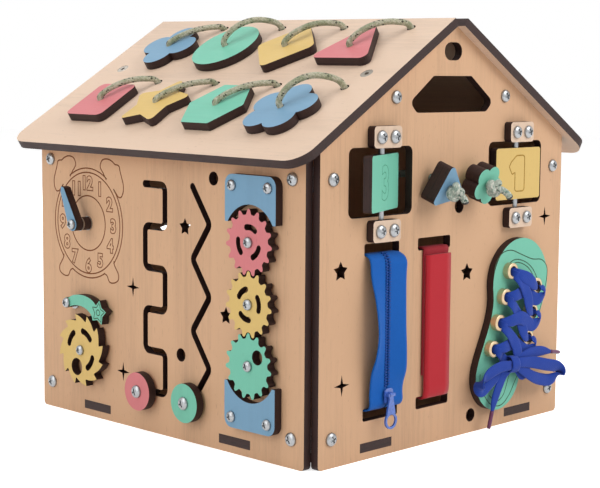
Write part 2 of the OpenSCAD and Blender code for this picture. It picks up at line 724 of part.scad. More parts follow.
// A tether's route: how far along from its shape to its roof hole, and its rise as a share of the arc's
tether_route = [[0, 0.25], [0.12, 0.62], [0.35, 0.95], [0.6, 1], [0.82, 0.74], [0.975, 0.3]];
tether_rise = [5.5, 12.5, 9, 9.5, 7.5, 5.5, 6, 14.5];
module tether(i) {
    start = shape_place(i);
    end = start + tether_step;
    side = unit([tether_step.y, -tether_step.x, 0]);
    knot_low = -ply - tether_lift - 2*tether_knot_r;
    route = concat([[start.x, start.y, 1]],
        [for (p = tether_route) let (place = start + tether_step*p[0]) [place.x, place.y, ply*(1 - p[0]) + tether_rise[i]*p[1]]],
        [[end.x, end.y, -1], [end.x, end.y, knot_low + 2*tether_knot_r], [end.x, end.y, knot_low + 1.5*tether_knot_r],
            [end.x, end.y, knot_low + 0.5*tether_knot_r], [end.x, end.y, knot_low]]);
    cord = tether_d/2;
    radii = concat([for (j = [0:len(tether_route) + 2]) cord], [tether_knot_r, tether_knot_r, cord]);
    color("#8f9a86") on_roof_left() tube(route, radii, side);
}
module quatrefoil_cord() { tether(0); }
module round_cord() { tether(1); }
module turned_square_cord() { tether(2); }
module triangle_cord() { tether(3); }
module square_cord() { tether(4); }
module star_cord() { tether(5); }
module hexagon_cord() { tether(6); }
module flower_cord() { tether(7); }

// ---------- Roof shapes, each loose on its tether ----------

module roof_shape(i) {
    on_roof_left() at(shape_place(i)) difference() {
        plate(face_gap, face_gap + ply) children();
        cylinder(d = tether_d, h = 2*ply);
    }
}
module quatrefoil() { color(blue) roof_shape(0) petals(4, 25, 11.6, 0); }
module round_shape() { color(teal) roof_shape(1) circle(d = 52); }
module turned_square() { color(yellow) roof_shape(2) rotate(45) polygon(rounded(box_outline(40, 40), 5)); }
module triangle_shape() { color(pink) roof_shape(3) polygon(rounded(regular(3, 31.2, 90), 4.5)); }
module square_shape() { color(pink) roof_shape(4) polygon(rounded(box_outline(40, 40), 5)); }
module star_shape() { color(yellow) roof_shape(5) polygon(rounded(star_outline(5, 28.8, 16.6, 90), [for (i = [0:9]) i%2 == 0 ? 3 : 1.5])); }
module hexagon_shape() { color(teal) roof_shape(6) polygon(rounded(regular(6, 26.5, 0), 2)); }
module flower_shape() { color(blue) roof_shape(7) petals(5, 26.6, 11.5, 90); }

// ---------- Pull beads ----------

// How far a bead's back stands off the wall, and the lengths of its cord
bead_off = [4.8, 5];
bead_knot_r = 5.2;
bead_pull = 40;
function bead_x(i) = i == 0 ? triangle_x : flower_x;
// The bead hangs a little from its hole, its face turned down
function bead_back(i) = [bead_x(i), bead_hole_z - 1.2 - 0.2*bead_off[i], bead_off[i]];
function bead_along(i, d) = bead_back(i) + d*[0, -sin(bead_tilt[i]), cos(bead_tilt[i])];
module bead(i) {
    on_front() translate(bead_back(i)) rotate([bead_tilt[i], 0, 0]) difference() {
        for (layer = [0, 1]) plate(layer*bead_t/2, (layer + 1)*bead_t/2) children();
        translate([0, 0, -1]) cylinder(d = bead_cord_d, h = bead_t + 2);
    }
}
module triangle_bead() { color(blue) bead(0) polygon(rounded(regular(3, 18.5, 100), 3)); }
module flower_bead() { color(teal) bead(1) petals(5, 13.6, 6.2, 64); }
module bead_cord(i) {
    inner = -ply - bead_pull;
    route = [bead_along(i, bead_t + 2*bead_knot_r), bead_along(i, bead_t + 1.4*bead_knot_r),
        bead_along(i, bead_t + 0.6*bead_knot_r), bead_along(i, bead_t), bead_along(i, 0),
        [bead_x(i), bead_hole_z, 0], [bead_x(i), bead_hole_z, inner],
        [bead_x(i), bead_hole_z, inner - 0.6*bead_knot_r], [bead_x(i), bead_hole_z, inner - 1.4*bead_knot_r],
        [bead_x(i), bead_hole_z, inner - 2*bead_knot_r]];
    cord = bead_cord_d/2;
    radii = [cord*0.8, bead_knot_r, bead_knot_r, cord, cord, cord, cord, bead_knot_r, bead_knot_r, cord*0.8];
    color("#5f8f7d") on_front() tube(route, radii, [1, 0, 0]);
}
module triangle_bead_cord() { bead_cord(0); }
module flower_bead_cord() { bead_cord(1); }

// ---------- Zip fastener and hook-and-loop strap ----------

// A strap comes out over the lower lip of its upper slot and goes in under the upper lip of its lower one
upper_lip = strap_top - strap_slot_h/2;
lower_lip = strap_low + strap_slot_h/2;
// A strap's side view as [off the wall, height] from its upper inner end to its lower one
module strap(path, thick, w, x) {
    translate([x - w/2, 0, 0]) on_front() rotate([0, 90, 0]) linear_extrude(w) mirror([1, 0]) polygon(band(path, thick));
}
tape_t = 0.9;
tape_off = 5;
inside = -ply - 0.6;
zip_run = [lower_lip + 2, upper_lip - 8.8];
tape_path = [[inside, upper_lip - 20], [inside - 0.1, upper_lip - 0.6], [inside + 0.15, upper_lip + 0.8],
    [inside + 1.2, upper_lip + 1.05], [0.3, upper_lip + 1], [3.4, upper_lip - 0.9], [tape_off - 0.4, upper_lip - 3.8],
    [tape_off, zip_run[1]], [tape_off, zip_run[0]], [3.6, lower_lip], [1.2, lower_lip - 0.95],
    [inside + 1.2, lower_lip - 1.05], [inside + 0.15, lower_lip - 0.8], [inside - 0.1, lower_lip + 0.6], [inside, lower_lip + 20]];
zip_split = 1;
module zip_tape() {
    half = (tape_w - zip_split)/2;
    color("#1560b8") for (x = [-1, 1]) strap(tape_path, tape_t, half, zip_x + x*(zip_split + half)/2);
}
teeth_w = 1.6;
teeth_t = 1;
teeth_off = tape_off + tape_t/2 + teeth_t/2;
module zip_teeth() {
    color("#0e3f86") for (x = [-1, 1]) strap([[teeth_off, zip_run[1]], [teeth_off, zip_run[0]]],
        teeth_t, teeth_w, zip_x + x*(zip_split + teeth_w)/2);
}
slider_z = 41;
slider_h = 10;
slider_w = 7.4;
slider_t = 1.2;
slider_front = teeth_off + teeth_t/2 + 0.3;
slider_back = tape_off - tape_t/2 - 0.3;
bail_off = slider_front + slider_t + 1.6;
bail_z = slider_z + 1;
bail_d = 1.6;
module zip_slider() {
    post_w = zip_split - 0.4;
    color(zip_blue) on_front() translate([zip_x, slider_z, 0]) {
        plate(slider_front, slider_front + slider_t) polygon(rounded(box_outline(slider_w, slider_h), 2));
        plate(slider_back - slider_t, slider_back) polygon(rounded(box_outline(slider_w, slider_h), 2));
        translate([-post_w/2, -2, slider_back - slider_t/2]) cube([post_w, 5, slider_front - slider_back + slider_t]);
        for (x = [-1, 1]) translate([x*2.7 - 0.5, bail_z - slider_z - 1, slider_front + slider_t/2])
            cube([1, 2, bail_off - slider_front - slider_t/2 + 1]);
        translate([-3.2, bail_z - slider_z, bail_off]) rotate([0, 90, 0]) cylinder(d = bail_d, h = 6.4);
    }
}
pull_l = 17;
pull_ring = 8;
module zip_pull() {
    eye = bail_d + 2*run_clear;
    thick = 1.3;
    color(zip_blue) on_front() translate([zip_x, bail_z, bail_off]) difference() {
        union() {
            rotate([0, 90, 0]) translate([0, 0, -1.9]) cylinder(d = eye + 1.2, h = 3.8);
            plate(-thick/2, thick/2) {
                polygon([[-1.9, 0], [-1.9, -3], [-4, -pull_l + 4.4], [4, -pull_l + 4.4], [1.9, -3], [1.9, 0]]);
                translate([0, -pull_l]) circle(d = pull_ring + 3);
            }
        }
        rotate([0, 90, 0]) translate([0, 0, -3]) cylinder(d = eye, h = 6);
        translate([0, -pull_l, -thick]) cylinder(d = pull_ring, h = 2*thick);
    }
}
loop_t = 1.6;
hook_t = 1.2;
hook_off = hook_t/2 + 0.4;
loop_off = hook_off + hook_t/2 + loop_t/2 + 0.1;
loop_end = 128.5;
hook_end = 48;
loop_path = [[loop_off, loop_end], [loop_off, lower_lip + 3.2], [2.1, lower_lip + 0.8], [0.9, lower_lip - 1.15],
    [inside + 1.4, lower_lip - 1.25], [inside - 0.5, lower_lip - 0.75], [inside - 0.7, lower_lip + 0.6],
    [inside - 0.7, lower_lip + 20]];
hook_path = [[inside - 0.5, upper_lip - 20], [inside - 0.5, upper_lip - 0.8], [inside - 0.3, upper_lip + 0.75],
    [inside + 1.4, upper_lip + 1.25], [0.2, upper_lip + 1.15], [1.3, upper_lip], [1.2, upper_lip - 1.1],
    [hook_off, loop_end + 0.5], [hook_off, hook_end]];
module loop_strap() { color("#c0303a") strap(loop_path, loop_t, loop_w, loop_x + 1.4); }
module hook_strap() { color("#8f1f28") strap(hook_path, hook_t, loop_w, loop_x + 0.4); }

// ---------- Shoe ----------

toe = [71.5, 102];
heel = [47.5, 38];
toe_r = 31.2;
heel_r = 24.5;
function shoe_outline() = concat(arc(toe, toe_r, -20, 190, 28),
    bezier(toe + polar(toe_r, 190), [44, 79], [26, 57], heel + polar(heel_r, 170), 12),
    arc(heel, heel_r, 172, 340, 22),
    bezier(heel + polar(heel_r, 342), [76.4, 47.5], [94.7, 74.4], toe + polar(toe_r, -21), 8));
module shoe_plate() {
    color(teal) on_front() difference() {
        plate(0, ply) polygon(shoe_outline());
        each_eyelet() translate([0, 0, -1]) cylinder(d = eyelet_d, h = ply + 2);
    }
}
module eyelets() {
    wall = 0.5;
    rim = 1.5;
    color("#c8b48a") on_front() each_eyelet() rotate_extrude()
        polygon([[eyelet_d/2 - wall, -ply], [eyelet_d/2, -ply], [eyelet_d/2, ply], [eyelet_d/2 + rim, ply],
            [eyelet_d/2 + rim, ply + eyelet_rise - 0.5], [eyelet_d/2 + rim - 0.5, ply + eyelet_rise],
            [eyelet_d/2 - wall, ply + eyelet_rise]]);
}
lace_w = 6;
lace_t = 1.4;
lace_low = ply + eyelet_rise + 0.2;
knot_at = [53, 46];
last = len(eyelet_rows[0]) - 1;
module lace_run(p, q, level) { plate(lace_low + level*lace_t, lace_low + (level + 1)*lace_t) polygon(band([p, q], lace_w)); }
module shoe_lace() {
    color("#2b48a8") on_front() {
        lace_run(eyelet_rows[0][0], eyelet_rows[1][0], 0);
        for (i = [0:last - 1]) {
            lace_run(eyelet_rows[0][i], eyelet_rows[1][i + 1], 0);
            lace_run(eyelet_rows[1][i], eyelet_rows[0][i + 1], 1);
        }
        for (side = [0, 1]) lace_run(eyelet_rows[side][last], knot_at, side);
        plate(lace_low, lace_low + 4*lace_t) translate(knot_at) polygon(rounded(box_outline(10, 9), 3));
        plate(lace_low + 2*lace_t, lace_low + 3*lace_t) {
            polygon(band(bezier(knot_at, [20, 48], [12, 24], [30, 27], 8), lace_w));
            polygon(band(bezier(knot_at, [80, 48], [116, 42], [112, 27], 8), lace_w));
        }
        plate(lace_low + lace_t, lace_low + 2*lace_t) {
            polygon(band([knot_at, [80, 52], [106, 48]], lace_w*0.7));
            polygon(band([knot_at, [40, 34], [33, 13]], lace_w*0.7));
        }
    }
}

front_gable();
back_gable();
left_wall();
right_wall();
floor_panel();
roof_left();
roof_right();
corner_brackets();
roof_brackets();
frame_screws();
roof_bolts();
nuts();
wood_screws();
clock_hand();
clock_spacer();
ratchet_wheel();
pawl();
pink_gear();
yellow_gear();
teal_gear();
pivot_screws();
pivot_washers();
gear_guards();
square_maze_disc();
square_maze_screw();
zigzag_maze_disc();
zigzag_maze_screw();
teal_flip_plate();
yellow_flip_plate();
flip_pins();
pin_blocks();
triangle_bead();
triangle_bead_cord();
flower_bead();
flower_bead_cord();
zip_tape();
zip_teeth();
zip_slider();
zip_pull();
loop_strap();
hook_strap();
shoe_plate();
eyelets();
shoe_lace();
quatrefoil();
round_shape();
turned_square();
triangle_shape();
square_shape();
star_shape();
hexagon_shape();
flower_shape();
quatrefoil_cord();
round_cord();
turned_square_cord();
triangle_cord();
square_cord();
star_cord();
hexagon_cord();
flower_cord();
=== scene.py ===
"""The looks of a wooden busy board: a laser-cut plywood house with toys on its walls and roof.

Lengths are in metres unless a name or a list says millimetres. The house stands on the ground
around the origin, its front gable faces -Y and the wall with the clock faces -X.
"""
import math

import bpy
import numpy as np
from mathutils import Matrix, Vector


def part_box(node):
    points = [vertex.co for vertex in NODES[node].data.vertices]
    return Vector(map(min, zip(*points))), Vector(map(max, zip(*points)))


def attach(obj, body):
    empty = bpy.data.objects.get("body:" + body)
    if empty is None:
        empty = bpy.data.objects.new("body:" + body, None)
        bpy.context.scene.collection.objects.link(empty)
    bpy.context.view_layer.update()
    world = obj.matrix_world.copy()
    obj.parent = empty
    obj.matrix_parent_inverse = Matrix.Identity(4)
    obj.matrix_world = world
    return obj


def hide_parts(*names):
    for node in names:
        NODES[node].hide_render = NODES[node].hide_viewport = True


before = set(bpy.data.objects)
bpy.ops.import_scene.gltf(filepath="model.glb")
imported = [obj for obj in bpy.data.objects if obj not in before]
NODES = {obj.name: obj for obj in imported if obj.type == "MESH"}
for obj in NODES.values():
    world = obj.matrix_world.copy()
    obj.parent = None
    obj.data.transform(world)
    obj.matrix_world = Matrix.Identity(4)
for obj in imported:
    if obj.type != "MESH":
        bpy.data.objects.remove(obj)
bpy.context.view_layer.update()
MM = 0.001

# ---------- Sizes of the house, in millimetres ----------

ROOF_PITCH = math.radians(32)
EAVE_CLEAR = 0.5
FRONT_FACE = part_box("front_gable")[0].y / MM
LEFT_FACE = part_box("left_wall")[0].x / MM
WALL_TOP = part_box("left_wall")[1].z / MM
PLY = (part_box("floor_panel")[1].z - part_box("floor_panel")[0].z) / MM
APEX = WALL_TOP + EAVE_CLEAR - LEFT_FACE * math.tan(ROOF_PITCH) + PLY / math.cos(ROOF_PITCH)

# Panels as origin, right and up, each seen from outside
SLOPE = (math.cos(ROOF_PITCH), 0, math.sin(ROOF_PITCH))
FRONT = ((0, FRONT_FACE, 0), (1, 0, 0), (0, 0, 1))
LEFT = ((LEFT_FACE, 0, 0), (0, -1, 0), (0, 0, 1))
ROOF = ((0, 0, APEX), (0, -1, 0), SLOPE)


def on(panel, points):
    """Points right, up and out from a panel's origin, in millimetres, as points of the frame in metres."""
    origin, right, up = (np.array(v, float) for v in panel)
    base = np.stack([right, up, np.cross(right, up)])
    return (origin + np.asarray(points, float)[..., :3] @ base) * MM


def turned(panel, vectors):
    """Directions right, up and out on a panel as directions of the frame."""
    return on(((0, 0, 0), panel[1], panel[2]), vectors) / MM


def placed(name, data):
    """A new object of the scene that shows some data."""
    made = bpy.data.objects.new(name, data)
    bpy.context.scene.collection.objects.link(made)
    return made


# ---------- Camera ----------

# Turn round the upright, dip and roll, in degrees
CAMERA_TURNS = (-47.92, 6.099, 0.785)
CAMERA_AT = (-0.79523, -0.80873, 0.25354)
camera = placed("camera", bpy.data.cameras.new("camera"))
bpy.context.scene.camera = camera
camera.data.lens = 92.74
camera.data.sensor_width = 36
# How far the view is shifted right and up, as shares of its width
camera.data.shift_x = -0.1546
camera.data.shift_y = -0.0234
yaw, dip, roll = (math.radians(a) for a in CAMERA_TURNS)
back = np.array([math.sin(yaw) * math.cos(dip), -math.cos(yaw) * math.cos(dip), math.sin(dip)])
level = np.cross(-back, (0, 0, 1))
level /= np.linalg.norm(level)
above = np.cross(level, -back)
right = level * math.cos(roll) + above * math.sin(roll)
above = above * math.cos(roll) - level * math.sin(roll)
pose = Matrix(np.column_stack([right, above, back]).tolist()).to_4x4()
pose.translation = CAMERA_AT
camera.matrix_world = pose


# ---------- Surfaces ----------

def smooth(rows, count):
    """A curve of count rows through the given rows.

    Between two rows it is the cubic that leaves and arrives with the slopes found from the
    neighbours over the running chord length. Columns past the third are carried along.
    """
    rows = np.asarray(rows, float)
    run = np.concatenate([[0], np.cumsum(np.linalg.norm(np.diff(rows[:, :3], axis=0), axis=1))])
    slope = np.gradient(rows, run, axis=0)
    s = np.linspace(0, run[-1], count)
    i = np.clip(np.searchsorted(run, s, "right") - 1, 0, len(rows) - 2)
    h = (run[i + 1] - run[i])[:, None]
    t = (s - run[i])[:, None] / h
    start = (1 + 2 * t) * (1 - t) ** 2 * rows[i] + t * (1 - t) ** 2 * h * slope[i]
    end = t * t * (3 - 2 * t) * rows[i + 1] + t * t * (t - 1) * h * slope[i + 1]
    return start + end


def along(points, ring=False):
    """Running length at each point of a path, and the unit direction of travel there."""
    if ring:
        ahead, behind = np.roll(points, -1, 0), np.roll(points, 1, 0)
    else:
        ahead = np.vstack([points[1:], points[-1:]])
        behind = np.vstack([points[:1], points[:-1]])
    step = np.linalg.norm(np.diff(points, axis=0), axis=1)
    direction = ahead - behind
    direction /= np.linalg.norm(direction, axis=1, keepdims=True)
    return np.concatenate([[0], np.cumsum(step)]), direction


def shell(grids):
    """Vertices, faces and UVs of closed skins.

    Each skin is a grid of rings by sides with its u, its v and whether it is a ring. Ring i and
    side j of a grid give one vertex. Cells join neighbours, the sides close on themselves, and
    the rings either close too or end in flat caps. Faces point out of the volume.
    """
    vertices, faces, uvs, base = [], [], [], 0
    for points, u, v, ring in grids:
        rings, sides = points.shape[:2]
        i, j = np.meshgrid(np.arange(rings - (not ring)), np.arange(sides), indexing="ij")
        i = np.stack([i, i, i + 1, i + 1], -1).reshape(-1, 4)
        j = np.stack([j, j + 1, j + 1, j], -1).reshape(-1, 4)
        corner = (i % rings) * sides + j % sides
        flat = points.reshape(-1, 3)
        a, b, c, d = (flat[corner[:, k]] for k in range(4))
        volume = np.einsum("ij,ij", a, np.cross(b, c)) + np.einsum("ij,ij", a, np.cross(c, d))
        caps = [] if ring else [np.arange(sides)[::-1], (rings - 1) * sides + np.arange(sides)]
        for cap in caps:
            p = flat[cap]
            volume += np.einsum("ij,ij", np.broadcast_to(p[0], p[1:-1].shape), np.cross(p[1:-1], p[2:]))
        quads = [(corner, np.stack([u[j], v[i]], -1))]
        quads += [(cap[None], np.stack([u[cap % sides], v[cap // sides]], -1)[None]) for cap in caps]
        for corners, uv in quads:
            if volume < 0:
                corners, uv = corners[:, ::-1], uv[:, ::-1]
            faces += (corners + base).tolist()
            uvs.append(uv.reshape(-1, 2))
        vertices.append(flat)
        base += len(flat)
    return np.concatenate(vertices), faces, np.concatenate(uvs)


def piece(name, skins, material, body, letters=()):
    """A new object made of closed skins and of lettering, riding on a body."""
    vertices, faces, uvs = shell(skins) if skins else (np.zeros((0, 3)), [], np.zeros((0, 2)))
    for more, more_faces in letters:
        faces += [[corner + len(vertices) for corner in face] for face in more_faces]
        vertices = np.concatenate([vertices, more])
    mesh = bpy.data.meshes.new(name)
    mesh.from_pydata(vertices.tolist(), [], faces)
    uvs = np.concatenate([uvs, np.zeros((len(mesh.loops) - len(uvs), 2))])
    mesh.uv_layers.new(name="UVMap").data.foreach_set("uv", uvs.ravel())
    mesh.shade_smooth()
    mesh.materials.append(material)
    made = placed(name, mesh)
    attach(made, body)
    return made


def sweep(points, normals, half_w, half_t, sides, power=2.0, ring=False):
    """A skin round a path.

    Side j at angle a is path + half_w*cos(a)^(2/power)*across + half_t*sin(a)^(2/power)*normal.
    Across is square to the path and the given normal, the powers keep their signs, and a power
    of 2 gives an ellipse. u runs round the section and v along the path, both in metres.
    """
    run, direction = along(points, ring)
    normals = np.broadcast_to(np.asarray(normals, float), points.shape)
    across = np.cross(direction, normals)
    across /= np.linalg.norm(across, axis=1, keepdims=True)
    normals = np.cross(across, direction)
    angle = np.arange(sides) * 2 * np.pi / sides
    c = np.sign(np.cos(angle)) * np.abs(np.cos(angle)) ** (2 / power)
    s = np.sign(np.sin(angle)) * np.abs(np.sin(angle)) ** (2 / power)
    half_w = np.broadcast_to(np.asarray(half_w, float), len(points))[:, None, None]
    half_t = np.broadcast_to(np.asarray(half_t, float), (len(points), sides))[:, :, None]
    grid = points[:, None] + half_w * c[None, :, None] * across[:, None]
    grid = grid + half_t * s[None, :, None] * normals[:, None]
    if power == 2.0:
        round_trip = 2 * np.pi * float(np.mean(half_w))
        u = np.arange(sides + 1) / sides * round_trip
    else:
        u = np.append(c, c[0]) * float(np.max(half_w))
    v = np.append(run, run[-1] + np.linalg.norm(points[0] - points[-1])) if ring else run
    return grid, u, v, ring


def strip(grid, half_t):
    """A thin skin over a grid of points, rows along it by columns across.

    Each point gives two, plus and minus half_t*normal, and the normal is the cross product of
    the steps across and along. u is the distance across and v the distance along the middle
    column, in metres.
    """
    normal = np.cross(np.gradient(grid, axis=1), np.gradient(grid, axis=0))
    normal /= np.linalg.norm(normal, axis=2, keepdims=True)
    skin = np.concatenate([grid + half_t * normal, (grid - half_t * normal)[:, ::-1]], axis=1)
    middle = grid[len(grid) // 2]
    across = np.concatenate([[0], np.cumsum(np.linalg.norm(np.diff(middle, axis=0), axis=1))])
    u = np.concatenate([across, across[::-1], across[:1]])
    return skin, u, along(grid[:, grid.shape[1] // 2])[0], False


# ---------- Finishes ----------

def linear(code, gain=1.0):
    """An sRGB hex colour as the linear values that a shader takes, made lighter or darker by gain."""
    c = np.array([int(code[i:i + 2], 16) for i in (1, 3, 5)]) / 255
    c = np.where(c <= 0.04045, c / 12.92, ((c + 0.055) / 1.055) ** 2.4)
    return (*np.clip(c * gain, 0, 1).tolist(), 1.0)


def wire(tree, node, inputs):
    """Gives each input of a node a value, or links it to a socket or to another node's first output."""
    for key, value in inputs.items():
        source = value.outputs[0] if isinstance(value, bpy.types.Node) else value
        if isinstance(source, bpy.types.NodeSocket):
            tree.links.new(source, node.inputs[key])
        else:
            node.inputs[key].default_value = value


def add(tree, kind, inputs=None, stops=None, **settings):
    """One shader node of a kind, with its settings, the stops of its ramp and its inputs."""
    node = tree.nodes.new("ShaderNode" + kind)
    for name, value in settings.items():
        setattr(node, name, value)
    for k, (place, colour) in enumerate(stops or []):
        if k > 1:
            node.color_ramp.elements.new(place)
        node.color_ramp.elements[k].position = place
        node.color_ramp.elements[k].color = colour
    wire(tree, node, inputs or {})
    return node


def blank(name, **values):
    """A material, its node tree and its shader, with the shader's plain values set."""
    material = bpy.data.materials.new(name)
    material.use_nodes = True
    shader = material.node_tree.nodes["Principled BSDF"]
    wire(material.node_tree, shader, {key.replace("_", " "): value for key, value in values.items()})
    return material, material.node_tree, shader


# Patterns of birch veneer and of its burnt edge: millimetres across and along the grain, detail, offset
TONE = (38, 260, 2.0, 3.0)
STREAK = (2.6, 110, 3.0, 7.0)
FIBRE = (0.55, 14, 2.0, 11.0)
FLECK = (0.9, 5, 1.0, 19.0)
CHAR = (3, 3, 3.0, 23.0)
# Thickness of a veneer layer and depth of the open grain, in millimetres
LAYER = 1.3
GRAIN_DEPTH = 0.06
# How much lighter and darker than the veneer's colour its figure goes, at full strength
LIGHTER = 0.10
DARKER = 0.17
# The surface is a face where it looks this squarely along the sheet's axis
SQUARE_ON = 0.9


def plywood(name, face, axis, grain, strength):
    """Laser-cut birch plywood: a sanded veneer face with fine straight grain, and edges burnt dark.

    The axis is square to the sheet, so the face is wherever the surface looks along it. The
    grain is the index of the direction it runs in. Stained sheets show the same grain, weaker.
    """
    material, tree, shader = blank(name, Specular_IOR_Level=0.35)
    place = add(tree, "TexCoord").outputs

    def pattern(across, lengthwise, detail, offset):
        """Noise stretched along the grain."""
        scale = [1 / (across * MM)] * 3
        scale[grain] = 1 / (lengthwise * MM)
        spot = add(tree, "Mapping",
                   {"Vector": place["Object"], "Location": (offset, offset, offset), "Scale": scale})
        noise = {"Vector": spot, "Scale": 1.0, "Detail": detail, "Roughness": 0.5}
        return add(tree, "TexNoise", noise)

    tone, streak, fibre = pattern(*TONE), pattern(*STREAK), pattern(*FIBRE)
    fine = add(tree, "Math", {0: streak, 1: fibre}, operation="ADD")
    figure = add(tree, "Math", {0: fine, 1: 0.5, 2: tone}, operation="MULTIPLY_ADD")
    middling = add(tree, "Math", {0: figure, 1: 0.5}, operation="MULTIPLY")
    dark, light = linear(face, 1 - DARKER * strength), linear(face, 1 + LIGHTER * strength)
    veneer = add(tree, "ValToRGB", {0: middling},
                 stops=[(0.36, dark), (0.62, light), (0.5, linear(face))])
    speck = add(tree, "MapRange", {"Value": pattern(*FLECK), 1: 0.69, 2: 0.78, 3: 0.0, 4: 0.4 * strength})
    marked = add(tree, "Mix", {0: speck, 6: veneer, 7: linear(face, 0.5)}, data_type="RGBA")
    depth = add(tree, "VectorMath", {0: place["Object"], 1: axis}, operation="DOT_PRODUCT")
    layer = add(tree, "TexNoise", {"W": depth.outputs["Value"], "Scale": 1 / (LAYER * MM), "Detail": 1.0},
                noise_dimensions="1D")
    burnt = add(tree, "Math", {0: layer, 1: pattern(*CHAR)}, operation="MULTIPLY")
    edge = add(tree, "ValToRGB", {0: burnt},
               stops=[(0.12, linear("#1c0e0c")), (0.42, linear("#40241d")), (0.26, linear("#2b1613"))])
    facing = add(tree, "VectorMath", {0: place["Normal"], 1: axis}, operation="DOT_PRODUCT")
    squarely = add(tree, "Math", {0: facing.outputs["Value"]}, operation="ABSOLUTE")
    is_face = add(tree, "Math", {0: squarely, 1: SQUARE_ON}, operation="GREATER_THAN")
    colour = add(tree, "Mix", {0: is_face, 6: edge, 7: marked.outputs[2]}, data_type="RGBA")
    rough = add(tree, "MapRange", {"Value": fibre, 1: 0.3, 2: 0.7, 3: 0.52, 4: 0.68})
    relief = add(tree, "Bump", {"Height": fine, "Strength": 0.5, "Distance": GRAIN_DEPTH * MM})
    wire(tree, shader, {"Base Color": colour.outputs[2], "Roughness": rough, "Normal": relief})
    return material


# Size of the specks in a plated finish and their depth, in millimetres
SPECKLE = 0.35
SPECKLE_DEPTH = 0.02


def hard(name, colour, low, high, metallic=1.0):
    """Plated metal: bright, with the slightly uneven gloss of a barrel-plated or rolled part.

    Low and high are its least and greatest roughness. Without metal it is melted cord.
    """
    material, tree, shader = blank(name, Metallic=metallic, Base_Color=linear(colour))
    place = add(tree, "TexCoord").outputs["Object"]
    cloud = add(tree, "TexNoise", {"Vector": place, "Scale": 1 / (SPECKLE * MM), "Detail": 3.0})
    rough = add(tree, "MapRange", {"Value": cloud, 1: 0.3, 2: 0.7, 3: low, 4: high})
    relief = add(tree, "Bump", {"Height": cloud, "Strength": 0.3, "Distance": SPECKLE_DEPTH * MM})
    wire(tree, shader, {"Roughness": rough, "Normal": relief})
    return material


# Size of the scuffs on enamel, in millimetres
SCUFF = 1.6


def enamel(name, colour):
    """Baked enamel on a die-cast zip slider: a smooth glossy coat, a little thin and scuffed in spots."""
    material, tree, shader = blank(name, Coat_Weight=0.6, Coat_Roughness=0.1)
    place = add(tree, "TexCoord").outputs["Object"]
    wear = add(tree, "TexNoise", {"Vector": place, "Scale": 1 / (SCUFF * MM), "Detail": 4.0})
    shade = add(tree, "ValToRGB", {0: wear},
                stops=[(0.35, linear(colour, 0.85)), (0.72, linear(colour, 1.25))])
    rough = add(tree, "MapRange", {"Value": wear, 1: 0.3, 2: 0.7, 3: 0.28, 4: 0.4})
    wire(tree, shader, {"Base Color": shade, "Roughness": rough})
    return material


# Length of a cord's patches of another colour, and depth of its braid, in millimetres
PATCH = 11
BRAID_DEPTH = 0.2


def braid(name, stops, strand, patch, offset=0.0):
    """A braided polyester cord with a soft sheen: its strands slant both ways and have a few colours.

    The pattern's axes are u and v turned by 45 degrees, so every diamond between two crossings
    has its own colour. Strand is the width of a diamond in millimetres, and the patch colour
    comes and goes over a few centimetres of cord. Each diamond's colour darkens towards its edges,
    a painted shade in the hollows between the strands.
    """
    material, tree, shader = blank(name, Roughness=0.8, Sheen_Weight=0.2, Sheen_Roughness=0.5,
                                   Specular_IOR_Level=0.25)
    place = add(tree, "TexCoord").outputs
    size = 1 / (strand * MM)
    spot = add(tree, "Mapping", {"Vector": place["UV"], "Location": (offset, offset, 0),
                                           "Rotation": (0, 0, math.radians(45)), "Scale": (size, size, 1)})
    cell = add(tree, "TexVoronoi", {"Vector": spot, "Scale": 1.0, "Randomness": 0.55},
               voronoi_dimensions="2D")
    pick = add(tree, "SeparateColor", {0: cell.outputs["Color"]})
    hue = add(tree, "ValToRGB", {0: pick}, stops=[(share, linear(code)) for share, code in stops])
    hue.color_ramp.interpolation = "CONSTANT"
    cloud = add(tree, "TexNoise", {"Vector": place["Object"], "Scale": 1 / (PATCH * MM), "Detail": 1.0})
    green = add(tree, "MapRange", {"Value": cloud, 1: 0.5, 2: 0.62, 3: 0.0, 4: 0.55})
    mixed = add(tree, "Mix", {0: green, 6: hue, 7: linear(patch)}, data_type="RGBA")
    thread = add(tree, "TexWave", {"Vector": spot, "Scale": 1.6, "Distortion": 1.0},
                 bands_direction="DIAGONAL")
    # Strands' height for the bump, and painted shade: the colour darkens towards each diamond's edges, in the
    # hollows between strands
    strand_height_and_painted_shade = add(tree, "MapRange",
                 {"Value": cell.outputs["Distance"], 1: 0.25, 2: 0.75, 3: 1.05, 4: 0.72})
    colour_with_painted_hollow_shade = add(tree, "VectorMath", {0: mixed.outputs[2], "Scale": strand_height_and_painted_shade}, operation="SCALE")
    height = add(tree, "Math", {0: strand_height_and_painted_shade, 1: thread.outputs["Fac"]}, operation="ADD")
    relief = add(tree, "Bump", {"Height": height, "Strength": 0.6, "Distance": BRAID_DEPTH * MM})
    wire(tree, shader, {"Base Color": colour_with_painted_hollow_shade, "Normal": relief})
    return material


# Waves in a unit of the pattern that give it one rib or pick, and depth of a weave in millimetres
WAVES = 0.31
WEAVE_DEPTH = 0.15


